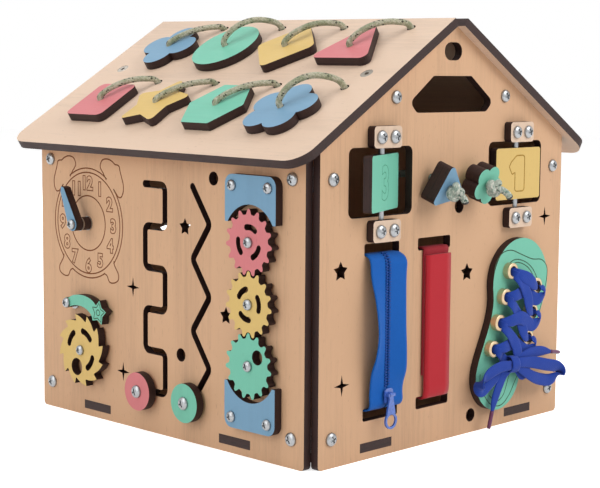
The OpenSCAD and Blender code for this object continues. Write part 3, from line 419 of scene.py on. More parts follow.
def woven(name, colour, rib, pick, fuzz, rough, sheen):
    """Narrow woven tape or lace: ribs along it, weft picks across it and a soft, slightly hairy face.

    Rib and pick are their spacings in millimetres and fuzz is the size of the nap. The colour is
    darker where the weave lies low, a painted shade in its hollows, and lighter where it stands
    high, a painted highlight, mottled by the nap.
    """
    material, tree, shader = blank(name, Roughness=rough, Sheen_Weight=sheen, Sheen_Roughness=0.45,
                                   Specular_IOR_Level=0.25)
    place = add(tree, "TexCoord").outputs
    size = (1 / (rib * MM), 1 / (pick * MM), 1)
    spot = add(tree, "Mapping", {"Vector": place["UV"], "Scale": size})
    wave = {"Vector": spot, "Scale": WAVES, "Distortion": 0.6, "Detail": 1.0}
    ribs = add(tree, "TexWave", wave, bands_direction="X")
    picks = add(tree, "TexWave", wave, bands_direction="Y")
    weave = add(tree, "Math", {0: ribs.outputs["Fac"], 1: picks.outputs["Fac"]}, operation="MULTIPLY")
    nap = add(tree, "TexNoise",
              {"Vector": place["Object"], "Scale": 1 / (fuzz * MM), "Detail": 5.0, "Roughness": 0.7})
    height = add(tree, "Math", {0: weave, 1: 0.6, 2: nap}, operation="MULTIPLY_ADD")
    # Painted shade where the weave lies low and painted highlight where it stands high, mottled by the nap
    shade = add(tree, "ValToRGB", {0: height},
                stops=[(0.3, linear(colour, 0.72)), (0.95, linear(colour, 1.2)), (0.6, linear(colour))])
    relief = add(tree, "Bump", {"Height": height, "Strength": 0.6, "Distance": WEAVE_DEPTH * MM})
    wire(tree, shader, {"Base Color": shade, "Normal": relief})
    return material


# Size of the spots in a burnt line, in millimetres
CHAR_SPOT = 1.5


def scorch(name, colour):
    """A line burnt into the veneer by the laser: matt, uneven brown."""
    material, tree, shader = blank(name, Roughness=0.9, Specular_IOR_Level=0.15)
    place = add(tree, "TexCoord").outputs["Object"]
    char = add(tree, "TexNoise", {"Vector": place, "Scale": 1 / (CHAR_SPOT * MM), "Detail": 3.0})
    shade = add(tree, "ValToRGB", {0: char},
                stops=[(0.3, linear(colour, 0.7)), (0.7, linear(colour, 1.3))])
    wire(tree, shader, {"Base Color": shade})
    return material


# Directions square to the sheets that the pieces are cut from
SIDE = (1, 0, 0)
GABLE = (0, 1, 0)
LEVEL = (0, 0, 1)
ROOF_L = (-SLOPE[2], 0, SLOPE[0])
ROOF_R = (SLOPE[2], 0, SLOPE[0])
FLIP_TURN = math.radians(23)
FLIPPED = (math.sin(FLIP_TURN), -math.cos(FLIP_TURN), 0)
BEAD_TILTS = {"triangle_bead": math.radians(19), "flower_bead": math.radians(15)}
TILTED = {name: (0, math.cos(tilt), math.sin(tilt)) for name, tilt in BEAD_TILTS.items()}
ALONG_Y = 1
ALONG_Z = 2

# Colours of the veneer and of the stains
BIRCH = "#cca380"
PALE = "#d7bca5"
TEAL = "#70baa1"
YELLOW = "#d2b26c"
PINK = "#cb7679"
BLUE = "#7198b3"

# Finish name: veneer colour, sheet direction, grain direction, strength of the figure, nodes
SHEETS = {
    "birch_gable": (BIRCH, GABLE, ALONG_Z, 1.0, "front_gable back_gable"),
    "birch_side": (BIRCH, SIDE, ALONG_Z, 1.0, "left_wall right_wall clock_spacer"),
    "birch_floor": (BIRCH, LEVEL, ALONG_Y, 1.0, "floor_panel"),
    "birch_roof_left": (PALE, ROOF_L, ALONG_Y, 0.8, "roof_left"),
    "birch_roof_right": (PALE, ROOF_R, ALONG_Y, 0.8, "roof_right"),
    "birch_block": (PALE, GABLE, ALONG_Z, 0.8, "pin_blocks"),
    "teal_side": (TEAL, SIDE, ALONG_Z, 0.5, "pawl teal_gear zigzag_maze_disc"),
    "teal_gable": (TEAL, GABLE, ALONG_Z, 0.5, "shoe_plate"),
    "teal_flip": (TEAL, FLIPPED, ALONG_Z, 0.5, "teal_flip_plate"),
    "teal_bead": (TEAL, TILTED["flower_bead"], ALONG_Z, 0.5, "flower_bead"),
    "teal_roof": (TEAL, ROOF_L, ALONG_Y, 0.5, "round_shape hexagon_shape"),
    "yellow_side": (YELLOW, SIDE, ALONG_Z, 0.5, "ratchet_wheel yellow_gear"),
    "yellow_gable": (YELLOW, GABLE, ALONG_Z, 0.5, "yellow_flip_plate"),
    "yellow_roof": (YELLOW, ROOF_L, ALONG_Y, 0.5, "turned_square star_shape"),
    "pink_side": (PINK, SIDE, ALONG_Z, 0.5, "pink_gear square_maze_disc"),
    "pink_roof": (PINK, ROOF_L, ALONG_Y, 0.5, "triangle_shape square_shape"),
    "blue_side": (BLUE, SIDE, ALONG_Z, 0.5, "clock_hand gear_guards"),
    "blue_bead": (BLUE, TILTED["triangle_bead"], ALONG_Z, 0.5, "triangle_bead"),
    "blue_roof": (BLUE, ROOF_L, ALONG_Y, 0.5, "quatrefoil flower_shape"),
}
ZINC_NODES = ("corner_brackets roof_brackets frame_screws nuts wood_screws pivot_screws pivot_washers "
              "square_maze_screw zigzag_maze_screw flip_pins")


def coat(names, material):
    """Gives each named CAD node its finish."""
    for name in names.split():
        NODES[name].data.materials.clear()
        NODES[name].data.materials.append(material)


for sheet_name, (veneer_colour, sheet_axis, grain_way, figure_strength, cut_from_it) in SHEETS.items():
    coat(cut_from_it, plywood(sheet_name, veneer_colour, sheet_axis, grain_way, figure_strength))
coat(ZINC_NODES, hard("bright_zinc_plate", "#9d9fa1", 0.24, 0.38))
coat("roof_bolts", hard("dull_zinc_plate", "#a39c92", 0.4, 0.55))
coat("eyelets", hard("champagne_brass", "#cdb594", 0.42, 0.55))
coat("zip_slider zip_pull", enamel("blue_enamel_die_cast", "#3d62b4"))


# ---------- Cords ----------

# How much of the braid each colour starts at, and the colour
CAMO = ((0, "#b2ad94"), (0.3, "#bfbba4"), (0.62, "#a3a488"), (0.92, "#3b352b"))
MARL = ((0, "#b6beb0"), (0.35, "#94a597"), (0.6, "#cfcfc2"), (0.86, "#4c6357"))
tether_braid = braid("camouflage_braid", CAMO, 1.1, "#7f8a66")
bead_braid = braid("grey_green_braid", MARL, 1.2, "#8aa394", 5.0)
melted = hard("melted_cord_end", "#1d1a18", 0.3, 0.5, 0.0)
CORD_SIDES = 20
STRANDS = 8
# Height of a cord's ripple as a share of its radius, and the step between its rings in millimetres
RIPPLE = 0.05
BRAID_STEP = 0.45
KNOT_RINGS = 90
KNOT_SIDES = 14
# A direction that no knot's axis runs along
KNOT_ASIDE = (0.31, 0.95, 0.05)
# Points that a cord's route is smoothed to
ROUTE_POINTS = 60


def braided(points, normal, radius):
    """A cord's skin along a smooth path, its radius rippled where its strands cross.

    Half of the eight strands wind each way, so at angle a and length v the ripple is
    cos(4(a + v/r))*cos(4(a - v/r)), a twentieth of the radius r high.
    """
    length = along(points)[0][-1]
    points = smooth(points, max(8, round(length / (BRAID_STEP * MM))))
    run = along(points)[0][:, None]
    angle = (np.arange(CORD_SIDES) * 2 * np.pi / CORD_SIDES)[None]
    lean = run / radius
    ripple = np.cos(STRANDS / 2 * (angle + lean)) * np.cos(STRANDS / 2 * (angle - lean))
    skin = sweep(points, normal, radius, radius, CORD_SIDES)
    swell = 1 + RIPPLE * ripple[:, :, None]
    return (points[:, None] + (skin[0] - points[:, None]) * swell, *skin[1:])


def knot(centre, axis, size, radius, turn=0.0):
    """An overhand knot pulled tight, a trefoil of cord of the given radius.

    Its path is x = sin t + 2 sin 2t, y = cos t - 2 cos 2t and z = -1.15 sin 3t along the axis,
    times a third of the size. The cord's ripple is cos(4a)*cos(30t), as high as on a straight one.
    """
    t = np.linspace(0, 2 * np.pi, KNOT_RINGS, endpoint=False)
    loop = [np.sin(t) + 2 * np.sin(2 * t), np.cos(t) - 2 * np.cos(2 * t), -1.15 * np.sin(3 * t)]
    axis = np.asarray(axis, float) / np.linalg.norm(axis)
    side = np.cross(axis, KNOT_ASIDE)
    side /= np.linalg.norm(side)
    other = np.cross(axis, side)
    first = side * math.cos(turn) + other * math.sin(turn)
    points = centre + np.stack(loop, -1) * size / 3 @ np.stack([first, np.cross(axis, first), axis])
    _, direction = along(points, True)
    outward = points - centre
    outward -= direction * np.sum(outward * direction, 1, keepdims=True)
    angle = (np.arange(KNOT_SIDES) * 2 * np.pi / KNOT_SIDES)[None]
    swell = 1 + RIPPLE * np.cos(4 * angle) * np.cos(t * 30)[:, None]
    return sweep(points, outward, radius, radius * swell, KNOT_SIDES, ring=True)


TETHER_D = 4.2
# Room that a tether's knot takes, and the size and cord radius that it is drawn with
TETHER_KNOT = 4.6
TETHER_KNOT_SIZE = 2.6
TETHER_KNOT_CORD = 1.9
TETHER_LIFT = 22
# A tether's route: how far along from its shape to its roof hole, and its rise as a share of the arc's
TETHER_ROUTE = ((0, 0.25), (0.12, 0.62), (0.35, 0.95), (0.6, 1), (0.82, 0.74), (0.975, 0.3))
TETHER_STEP = (25.9, 33.3)
# Shape name and the rise of its tether's arc
TETHERS = (("quatrefoil", 5.5), ("round_shape", 12.5), ("turned_square", 9), ("triangle_shape", 9.5),
           ("square_shape", 7.5), ("star_shape", 5.5), ("hexagon_shape", 6), ("flower_shape", 14.5))
SHAPE_FIRST = -91.7
SHAPE_PITCH = 62
SHAPE_ROWS = (-53.3, -128)
SHAPES_IN_ROW = 4


def tether(index, name, rise):
    """The cord from a roof shape's middle, in an arc to its hole in the roof and down to its knot inside."""
    u = SHAPE_FIRST + (index % SHAPES_IN_ROW) * SHAPE_PITCH
    v = SHAPE_ROWS[index // SHAPES_IN_ROW]
    low = -PLY - TETHER_LIFT - 2 * TETHER_KNOT
    du, dv = TETHER_STEP
    route = [(u, v, 1)]
    route += [(u + du * f, v + dv * f, PLY * (1 - f) + rise * k) for f, k in TETHER_ROUTE]
    hole = (u + du, v + dv)
    route += [(*hole, w) for w in (-1, low + 2 * TETHER_KNOT, low + TETHER_KNOT, low)]
    points = on(ROOF, route)
    side = turned(ROOF, (dv, -du, 0))
    node = name.replace("_shape", "") + "_cord"
    skin = braided(points, side, TETHER_D / 2 * MM)
    cord = piece(node + "_braid", [skin], tether_braid, name)
    stop = on(ROOF, (*hole, low + TETHER_KNOT))
    skin = knot(stop, ROOF_L, TETHER_KNOT_SIZE * MM, TETHER_KNOT_CORD * MM)
    tied = piece(node + "_knot", [skin], tether_braid, name)
    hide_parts(node)
    along(points)[0][-1]
    smooth(points, ROUTE_POINTS)


for shape_index, (shape_name, arc_rise) in enumerate(TETHERS):
    tether(shape_index, shape_name, arc_rise)

BEAD_T = 12
BEAD_CORD_D = 5
# Radius of the cord where it is drawn tight, and of its loose tail
BEAD_CORD_R = BEAD_CORD_D / 2 * 0.94
BEAD_TAIL_R = 2.3
# Room that a knot takes on each side of its middle, and shares of it where the cord's route has points
BEAD_KNOT = 5.2
KNOT_RUN = (0, 0.6, 1.4, 2)
# Size and cord radius of the knot in front of a bead and of the one inside the house
FRONT_KNOT = np.array([4.3, 2.6])
INNER_KNOT = np.array([3.4, 2.2])
# Radii of the melted blob at the end of a tail, one for each of the tail's last points
MELTED_R = np.array([2.2, 2.45, 2.4, 2.0, 0.9])
# Points of a tail, and how many of them at its end have no braid
TAIL_POINTS = 24
TAIL_BARE = 3
BEAD_HOLE_Z = 179
# A bead hangs below its hole by this, and by this share of its distance off the wall
BEAD_DROP = 1.2
BEAD_SAG = 0.2
BEAD_PULL = 40
# Bead name: right of the gable's middle, off the wall, turn of its front knot, and the tail's way from there
BEADS = {
    "triangle_bead": (-20.5, 4.8, 0.4, ((0, 0, 0), (2.4, -2.4, 3), (4, -5.4, 4.6), (4.6, -8, 5))),
    "flower_bead": (19, 5, 1.3, ((0, 0, 0), (4, -1.6, 4), (7.4, -4.4, 6), (10, -7.6, 6.6))),
}


def bead_cord(name, x, off, turn, tail):
    """The cord through a bead and the gable, with a knot in front of the bead and one inside the house."""
    def bit(ending, skin, material=bead_braid):
        """One piece of the cord, riding on the bead."""
        return piece(name + ending, [skin], material, name)

    base = np.array([x, BEAD_HOLE_Z - BEAD_DROP - BEAD_SAG * off, off])
    tilt = BEAD_TILTS[name]
    lean = np.array([0, -math.sin(tilt), math.cos(tilt)])
    inner = -PLY - BEAD_PULL
    route = [base + lean * (BEAD_T + BEAD_KNOT * k) for k in KNOT_RUN[::-1]] + [base]
    route += [(x, BEAD_HOLE_Z, w) for w in [0] + [inner - k * BEAD_KNOT for k in KNOT_RUN]]
    points = on(FRONT, route)
    cord = bit("_cord_braid", braided(points, (1, 0, 0), BEAD_CORD_R * MM))
    front = base + lean * (BEAD_T + BEAD_KNOT)
    behind = on(FRONT, (x, BEAD_HOLE_Z, inner - BEAD_KNOT))
    outer = bit("_front_knot", knot(on(FRONT, front), turned(FRONT, lean), *(FRONT_KNOT * MM), turn))
    stop = bit("_inner_knot", knot(behind, (0, 1, 0), *(INNER_KNOT * MM)))
    tail = smooth(on(FRONT, [front + way for way in tail]), TAIL_POINTS)
    end = bit("_cord_tail", braided(tail[:-TAIL_BARE], (0, 0, 1), BEAD_TAIL_R * MM))
    tip = tail[-len(MELTED_R):]
    blob = bit("_melted_end", sweep(tip, (0, 0, 1), MELTED_R * MM, MELTED_R[:, None] * MM, 16), melted)
    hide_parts(name + "_cord")
    along(points)[0][-1]
    smooth(points, ROUTE_POINTS)


for bead_name, bead_facts in BEADS.items():
    bead_cord(bead_name, *bead_facts)

# ---------- Laces ----------

lace_weave = woven("lace_flat_braid", "#1d3f9c", 0.9, 0.8, 0.5, 0.85, 0.15)
EYELETS = {"left": ((56.4, 111.2), (50, 93.6), (43.6, 76), (37.2, 58.4)),
           "right": ((85, 98.2), (80.3, 80.2), (75.6, 62.2), (69, 46))}
KNOT_AT = (54.5, 46)
LACE_W = 9.5
LACE_T = 1.4
# Step between a lace's rings, the sides of its section, and the power that squares it off
LACE_STEP = 0.9
LACE_SIDES = 14
LACE_POWER = 3.2
# How far off the wall each half of the lace crosses the shoe
OVER = 13.7
UNDER = 11.7


def through(side, i, before=None, after=None):
    """Rows that take a lace into an eyelet and out again, narrow and edge on in the bore.

    On the left it comes from one direction and leaves in the other, both pointing away from the
    eyelet. On the right, where neither counts, it comes out on the far side, where it folds over
    the rim and round below the eyelet.
    """
    u, v = EYELETS[side][i]
    if side == "right":
        return [(u - 4.6, v + 1.0, 12.4, 0.4, 0, 0.9, 7.2), (u - 1.2, v + 0.4, 10.9, 1, 0, 0.35, 5.4),
                (u, v, 3, 1, 0, 0, 5), (u + 1.6, v - 0.9, 11.0, 0.9, 0, 0.5, 5.4),
                (u + 5.6, v - 2.6, 12.7, 0.5, 0.3, 0.8, 7.6), (u + 6.2, v - 6.4, 12.2, 0.5, -0.2, 0.85, 8.4),
                (u + 1.0, v - 9.2, 11.6, 0, -0.1, 1, 9)]
    (a, b), (c, d) = (np.array(way) / np.hypot(*way) for way in (before, after))
    return [(u + 5.4 * a, v + 5.4 * b, 12.6, -0.3 * a, -0.3 * b, 0.95, 7.4),
            (u + 1.6 * a, v + 1.6 * b + 0.5, 11, -1, 0, 0.35, 5.2), (u, v, 3, -1, 0, 0, 5),
            (u + 1.6 * c, v + 1.6 * d - 0.3, 11, -1, 0, 0.35, 5.2),
            (u + 5.4 * c, v + 5.4 * d, 12.3, -0.3 * c, -0.3 * d, 0.95, 7.6)]


def threaded(stops, height):
    """Rows through a list of eyelets in turn, with one in the middle of each crossing."""
    rows = []
    places = [np.array(EYELETS[side][i]) for side, i in stops]
    for k in range(1, len(stops)):
        after = places[k + 1] if k + 1 < len(places) else np.array(KNOT_AT)
        rows.append((*(places[k - 1] + places[k]) / 2, height, 0, 0, 1, LACE_W))
        rows += through(*stops[k], places[k - 1] - places[k], after - places[k])
    return rows


# Rows are right, up, out, the way that the flat side looks, and the width. Each half of the bow
# goes once round the knot, out to the end of its loop, back to the knot, and down or across to its tip
OVER_BOW = [(62.5, 41.6, 11.8, 0, 0, 1, 8), (56, 45.4, 11.2, 0, 0, 1, 6.5),
            (48.8, 46.2, 12.4, -1, 0, 0, 6), (56, 46.8, 14.8, 0, 0, -1, 6.5),
            (73, 45.2, 15.4, 0, 0.1, -1, 8.4), (90.5, 41.2, 16, 0, 0.2, -1, 9),
            (104.5, 37.4, 15.6, 0.5, 0.2, -0.8, 9), (111.4, 32.4, 13.6, 1, 0, 0, 8.6),
            (103.5, 28.6, 12, 0.4, 0, 0.9, 8.8), (88.5, 30.4, 12.6, 0, 0, 1, 8.8),
            (76, 34.8, 14, 0, 0, 1, 8), (66, 40, 14.2, 0, 0, 1, 7), (56.5, 44.6, 13.8, 0, 0, 1, 6),
            (48.6, 40.5, 11.8, 0, 0, 1, 7.5), (42.4, 31, 11, 0, 0, 1, 8.2),
            (38.6, 21, 10.2, 0, 0, 1, 6.6), (37, 14.2, 9.8, 0, 0, 1, 2.6)]
UNDER_BOW = [(45, 52.5, 10.9, 0, 0, 1, 7.5), (52, 47.5, 11.2, 0, 0, 1, 6.5), (58.5, 46, 13, 1, 0, 0, 6),
             (51, 46, 15.2, 0, 0, -1, 6.5), (37, 46.2, 15.6, 0, 0, -1, 8.2),
             (24.5, 42, 15, -0.3, 0, -0.9, 8.6), (17.8, 35.6, 13.2, -1, 0, 0, 8.6),
             (22.5, 31, 11.4, -0.3, 0, 0.9, 8.4), (34.5, 36, 11.2, 0, 0, 1, 7.8),
             (49, 44, 11.6, 0, 0, 1, 6.3), (61, 48.6, 13.6, 0, 0, 1, 7), (69, 50.6, 13.8, 0, 0, 1, 7.6),
             (78, 51.4, 13.2, 0, 0, 1, 8), (92, 50.4, 12, 0, 0, 1, 6.6), (102, 48.6, 11.2, 0, 0, 1, 2.6)]
OVER_STOPS = (("right", 0), ("left", 0), ("right", 1), ("left", 2), ("right", 3))
UNDER_STOPS = (("right", 0), ("left", 1), ("right", 2), ("left", 3))
OVER_LACE = through("right", 0)[3::-1][1:] + threaded(OVER_STOPS, OVER) + OVER_BOW
UNDER_LACE = through("right", 0)[3:] + threaded(UNDER_STOPS, UNDER) + UNDER_BOW
AGLET_L = 12
AGLET_D = 2.6
# Shares of its radius along an aglet, which starts this far back on the lace
AGLET_SHAPE = (1.0, 1.15, 1.1, 1.1, 1.1, 1.1, 1.1, 0.9)
AGLET_START = -0.5
aglet_film = woven("aglet_film", "#6e3a5c", 0.6, 0.6, 0.8, 0.3, 0.0)


def lace(name, rows):
    """One end of the flat shoe lace, from its eyelets through the bow to its tip."""
    rows = np.array(rows)
    length = along(rows[:, :3])[0][-1]
    rows = smooth(rows, round(length / LACE_STEP))
    points = on(FRONT, rows)
    skin = sweep(points, turned(FRONT, rows[:, 3:6]), rows[:, 6] / 2 * MM, LACE_T / 2 * MM,
                 LACE_SIDES, LACE_POWER)
    made = piece(name, [skin], lace_weave, "house")
    direction = along(points)[1][-1]
    tip = points[-1] + np.linspace(AGLET_START, AGLET_L, len(AGLET_SHAPE))[:, None] * MM * direction
    radius = np.array(AGLET_SHAPE) * AGLET_D / 2 * MM
    skin = sweep(tip, turned(FRONT, (0, 0, 1)), radius, radius[:, None], 16)
    aglet = piece(name + "_aglet", [skin], aglet_film, "house")
    along(points)[0][-1]
    return made


over_lace = lace("shoe_lace_upper", OVER_LACE)
lace("shoe_lace_lower", UNDER_LACE)
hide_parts("shoe_lace")

# The band round the middle of the bow: an oval ring of lace, its middle this far off the wall
WRAP_OFF = 12.8
WRAP_R = (1, 5.4, 4.2)
WRAP_W = 8.8
WRAP_RINGS = 36
wrap_turn = np.linspace(0, 2 * np.pi, WRAP_RINGS, endpoint=False)
wrap_out = np.stack([0.1 * np.cos(wrap_turn), np.cos(wrap_turn), np.sin(wrap_turn)], -1)
wrap = on(FRONT, np.array([*KNOT_AT, WRAP_OFF]) + wrap_out * WRAP_R)
wrap_skin = sweep(wrap, turned(FRONT, wrap_out), WRAP_W / 2 * MM, LACE_T / 2 * MM,
                  LACE_SIDES, LACE_POWER, True)
piece("shoe_lace_knot", [wrap_skin], lace_weave, "house")

# ---------- Zip fastener and hook-and-loop strap ----------

# Middle of a tape behind the wall, and heights of the lips that the tapes bend round
INSIDE = -PLY - 0.6
UPPER_LIP = 131.85
LOWER_LIP = 33.45
ZIP_X = -68
ZIP_LOW = LOWER_LIP + 2
TAPE_W = 31
TAPE_OFF = 5
TAPE_T = 0.9


def tucked(lip, steps):
    """Points behind the wall, as steps from the middle of a tape there and from a lip."""
    return [(INSIDE + w, lip + z) for w, z in steps]


# Side views as off the wall and height, from the upper end to the lower one
TAPE_PATH = [
    *tucked(UPPER_LIP, ((0, -20), (0, -4), (-0.1, -0.6), (0.15, 0.8), (1.2, 1.05))),
    (-2.5, UPPER_LIP + 1.05), (0.3, UPPER_LIP + 1), (3.4, UPPER_LIP - 0.9),
    (TAPE_OFF - 0.4, UPPER_LIP - 3.8), *((TAPE_OFF, z) for z in (UPPER_LIP - 8.8, 112, 90, 65, 42, ZIP_LOW)),
    (3.6, LOWER_LIP), (1.2, LOWER_LIP - 0.95), (-2, LOWER_LIP - 1.1),
    *tucked(LOWER_LIP, ((1.2, -1.05), (0.15, -0.8), (-0.1, 0.6), (0, 4), (0, 20)))]
LOOP_PATH = [
    (2.5, 128.5), (2.5, 100), (2.5, 70), (2.5, 44), (2.5, LOWER_LIP + 3.2), (2.1, LOWER_LIP + 0.8),
    (0.9, LOWER_LIP - 1.15), (-2, LOWER_LIP - 1.3),
    *tucked(LOWER_LIP, ((1.4, -1.25), (-0.5, -0.75), (-0.7, 0.6), (-0.7, 4), (-0.7, 20)))]
HOOK_PATH = [
    *tucked(UPPER_LIP, ((-0.5, -20), (-0.5, -4), (-0.5, -0.8), (-0.3, 0.75), (1.4, 1.25))),
    (-2.5, UPPER_LIP + 1.3), (0.2, UPPER_LIP + 1.15), (1.3, UPPER_LIP), (1.2, UPPER_LIP - 1.1),
    (1, 129), (1, 120), (1, 90), (1, 48)]
LOOP_W = 25
# Grid of a strap, and of each half of the tape
STRAP_ROWS = 240
STRAP_COLUMNS = 6
TAPE_COLUMNS = 10
# How far the tape's outer edges stand out beyond its middle, by height: the left edge, then the right
TAPE_EDGES = (((132, 0), (120, 0.5), (107, 3.8), (95, 5.8), (80, 6.6), (66, 4.6), (57, 1.6), (46, 0.2),
               (33, 0)),
              ((133, 0.5), (129, 3), (120, 2.6), (100, 2.8), (85, 3.2), (68, 4.3), (57, 4), (47, 0.6),
               (33, 0)))
# Half the split between the tape's halves, and how much it widens over the last stretch of this length
TAPE_GAP = 0.36
GAP_WIDENS = 1.4
GAP_STRETCH = 8
# The teeth's spacing, their middles left and right of the zip's and off its tape, and half their section
TOOTH_PITCH = 0.9
TOOTH_SHIFT = 1.36
TOOTH_OFF = 0.95
TOOTH_HALF = (0.62, 0.5)
# Places along a tooth and the share of its section there
TOOTH_RUN = (-1, -0.75, 0, 0.75, 1)
TOOTH_SHAPE = np.array([0.6, 0.92, 1, 0.92, 0.6])
# The teeth start where the tape is this far off the wall and stop at this height
TEETH_FROM = 1.2
TEETH_TO = 47


def side_view(path, count):
    """The points of a strap's side view as columns off the wall and height."""
    return smooth([(w, z, 0) for w, z in path], count)[:, :2]


def flat_length(path):
    """A strap's length along its side view, in metres."""
    return along(side_view(path, STRAP_ROWS))[0][-1] * MM


def hanging(path, x, half_t):
    """A flat strap round a side view, in the middle plane x."""
    columns = np.linspace(x - LOOP_W / 2, x + LOOP_W / 2, STRAP_COLUMNS)
    rows = [[(u, z, w) for u in columns] for w, z in side_view(path, STRAP_ROWS)]
    return strip(on(FRONT, rows), half_t * MM)


def tape_half(side, edge):
    """Half of the zip's tape, which leans out by edge(z)*f^1.3 at share f of its width from the teeth.

    Inside the slots it is flat. Below the slider the split between the halves widens as it
    nears the lower slot.
    """
    path = side_view(TAPE_PATH, STRAP_ROWS)
    f = np.linspace(0, 1, TAPE_COLUMNS)[None]
    off, z = path[:, :1], path[:, 1:]
    lift = smooth([(height, out, 0) for height, out in edge[::-1]], 80)
    bow = np.interp(z, lift[:, 0], lift[:, 1]) * np.clip(off / 3, 0, 1) * f ** 1.3
    gap = TAPE_GAP + GAP_WIDENS * np.clip((ZIP_LOW + 2 - z) / GAP_STRETCH, 0, 1)
    u = ZIP_X + side * (gap + f * (TAPE_W / 2 - gap) - bow * bow / TAPE_W)
    grid = np.stack([u, np.broadcast_to(z, u.shape), off + bow], -1)
    return strip(on(FRONT, grid), TAPE_T / 2 * MM)


def teeth():
    """Moulded teeth along the tape's middle, by turns left and right, with room for the slider's post."""
    path = side_view(TAPE_PATH, 400)
    path = np.column_stack([np.zeros(len(path)), path[:, 1], path[:, 0]])
    run, direction = along(path)
    skins = []
    start = run[np.argmax(path[:, 2] > TEETH_FROM)]
    stop = run[np.argmax(path[:, 1] < TEETH_TO)]
    for k, s in enumerate(np.arange(start, stop, TOOTH_PITCH)):
        middle = np.array([np.interp(s, run, column) for column in path.T])
        out = np.cross([np.interp(s, run, column) for column in direction.T], (1, 0, 0))
        out /= np.linalg.norm(out)
        shift = TOOTH_SHIFT if k % 2 else -TOOTH_SHIFT
        bar = [middle + out * TOOTH_OFF + (ZIP_X + shift + x, 0, 0) for x in TOOTH_RUN]
        half_w, half_t = (half * TOOTH_SHAPE * MM for half in TOOTH_HALF)
        skins.append(sweep(on(FRONT, bar), turned(FRONT, out), half_w, half_t[:, None], 8, power=3.0))
    return skins


tape_weave = woven("zip_tape_weave", "#035ab0", 0.8, 0.7, 0.4, 0.75, 0.06)
halves = [piece("zip_tape_" + word, [tape_half(side, edge)], tape_weave, "house")
          for word, side, edge in zip(("left", "right"), (-1, 1), TAPE_EDGES)]
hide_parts("zip_tape")
for half in halves:
    flat_length(TAPE_PATH)
moulded = woven("zip_teeth_nylon", "#0a3f8e", 1.5, 1.5, 0.5, 0.45, 0.0)
chain = piece("zip_chain", teeth(), moulded, "house")
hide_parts("zip_teeth")

loop_pile = woven("strap_loop_pile", "#b8242f", 0.6, 0.6, 0.35, 0.95, 0.2)
hook_web = woven("strap_hook_tape", "#93202a", 0.9, 0.9, 0.4, 0.8, 0.05)
# Node, side view, right of the gable's middle, half the thickness, finish, slot
STRAPS = (("loop_strap", LOOP_PATH, -15.1, 0.8, loop_pile, "loop_fabric"),
          ("hook_strap", HOOK_PATH, -16.1, 0.6, hook_web, "hook_fabric"))
for node, path, x, half_t, finish, slot in STRAPS:
    strap = piece(node + "_web", [hanging(path, x, half_t)], finish, "house")
    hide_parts(node)
    flat_length(path)

# ---------- Lines burnt into the wood ----------

# Half the width of a line, half its thickness, and how far its middle lies over the face, in millimetres
LINE = 0.45
LINE_T = 0.05
LINE_UP = 0.02
burnt_line = scorch("laser_scorched_line", "#74452a")
dark_line = scorch("laser_line_on_stain", "#46604c")
ochre_line = scorch("laser_line_on_yellow", "#a8843f")
faint_line = scorch("faint_laser_line_on_teal", "#579a80")


def drawn(panel, points, w, half_w=LINE, ring=False, count=0):
    """A flat line through points on a panel's face at height w, smoothed where count is given."""
    rows = np.column_stack([np.asarray(points, float), np.full(len(points), float(w))])
    if count:
        rows = smooth(rows, count)
    return sweep(on(panel, rows), turned(panel, (0, 0, 1)), half_w * MM, LINE_T * MM, 6, ring=ring)


def round_line(centre, r, start=0.0, end=360.0):
    """Points of an arc from one angle to another, in degrees."""
    count = max(8, round(abs(end - start) / 360 * 90))
    a = np.radians(np.linspace(start, end, count, endpoint=abs(end - start) < 360))
    return np.stack([centre[0] + r * np.cos(a), centre[1] + r * np.sin(a)], -1)


def outlined(corners, count):
    """A closed outline with this many points on each of its straight sides."""
    ahead = [*corners[1:], corners[0]]
    return np.concatenate([np.linspace(a, b, count, endpoint=False) for a, b in zip(corners, ahead)])


def numeral(panel, text, place, w, size, swell, line):
    """The outline of a numeral, fattened by swell, as flat beads of half thickness line on a panel's face."""
    data = bpy.data.curves.new("numeral", "FONT")
    data.body = text
    data.size = size
    data.offset = swell
    data.align_x = "CENTER"
    data.align_y = "CENTER"
    data.fill_mode = "NONE"
    data.bevel_depth = line
    data.bevel_resolution = 1
    data.resolution_u = 3
    holder = placed("numeral", data)
    mesh = bpy.data.meshes.new_from_object(holder.evaluated_get(bpy.context.evaluated_depsgraph_get()))
    points = np.array([vertex.co for vertex in mesh.vertices])
    faces = [list(face.vertices) for face in mesh.polygons]
    bpy.data.objects.remove(holder)
    middle = (points.max(0) + points.min(0)) / 2
    points = (points - middle) * (1, 1, LINE_T / line) + (*place, w)
    return on(panel, points), faces


CLOCK = np.array([-82, 139])
BELL = ((21, 32), (17.5, 36.5), (14.2, 41), (16, 45), (22, 46.6), (28, 45), (31, 43.2), (33.5, 43),
        (35.6, 42), (36.2, 39.8), (38, 35), (40, 29), (39.4, 23.5), (37, 20.6), (34.6, 20.8), (32, 23),
        (29, 26))
FOOT = ((29, -24.5), (29.6, -27), (32, -30.4), (34.2, -33.6), (34, -37), (30, -39.6), (24, -39.6),
        (21, -35.4), (18, -34))
# Size, swell and line of the clock's numerals, and their places from its middle, from twelve on
DIAL_NUMERAL = (13.2, 0.6, 0.34)
DIGITS = ((0, 28.5), (13.5, 25), (24.5, 15), (28.5, 0), (25, -14), (13.5, -25.5), (0, -30), (-15.5, -25),
          (-25, -15), (-30, -1), (-25, 15), (-13.5, 24))
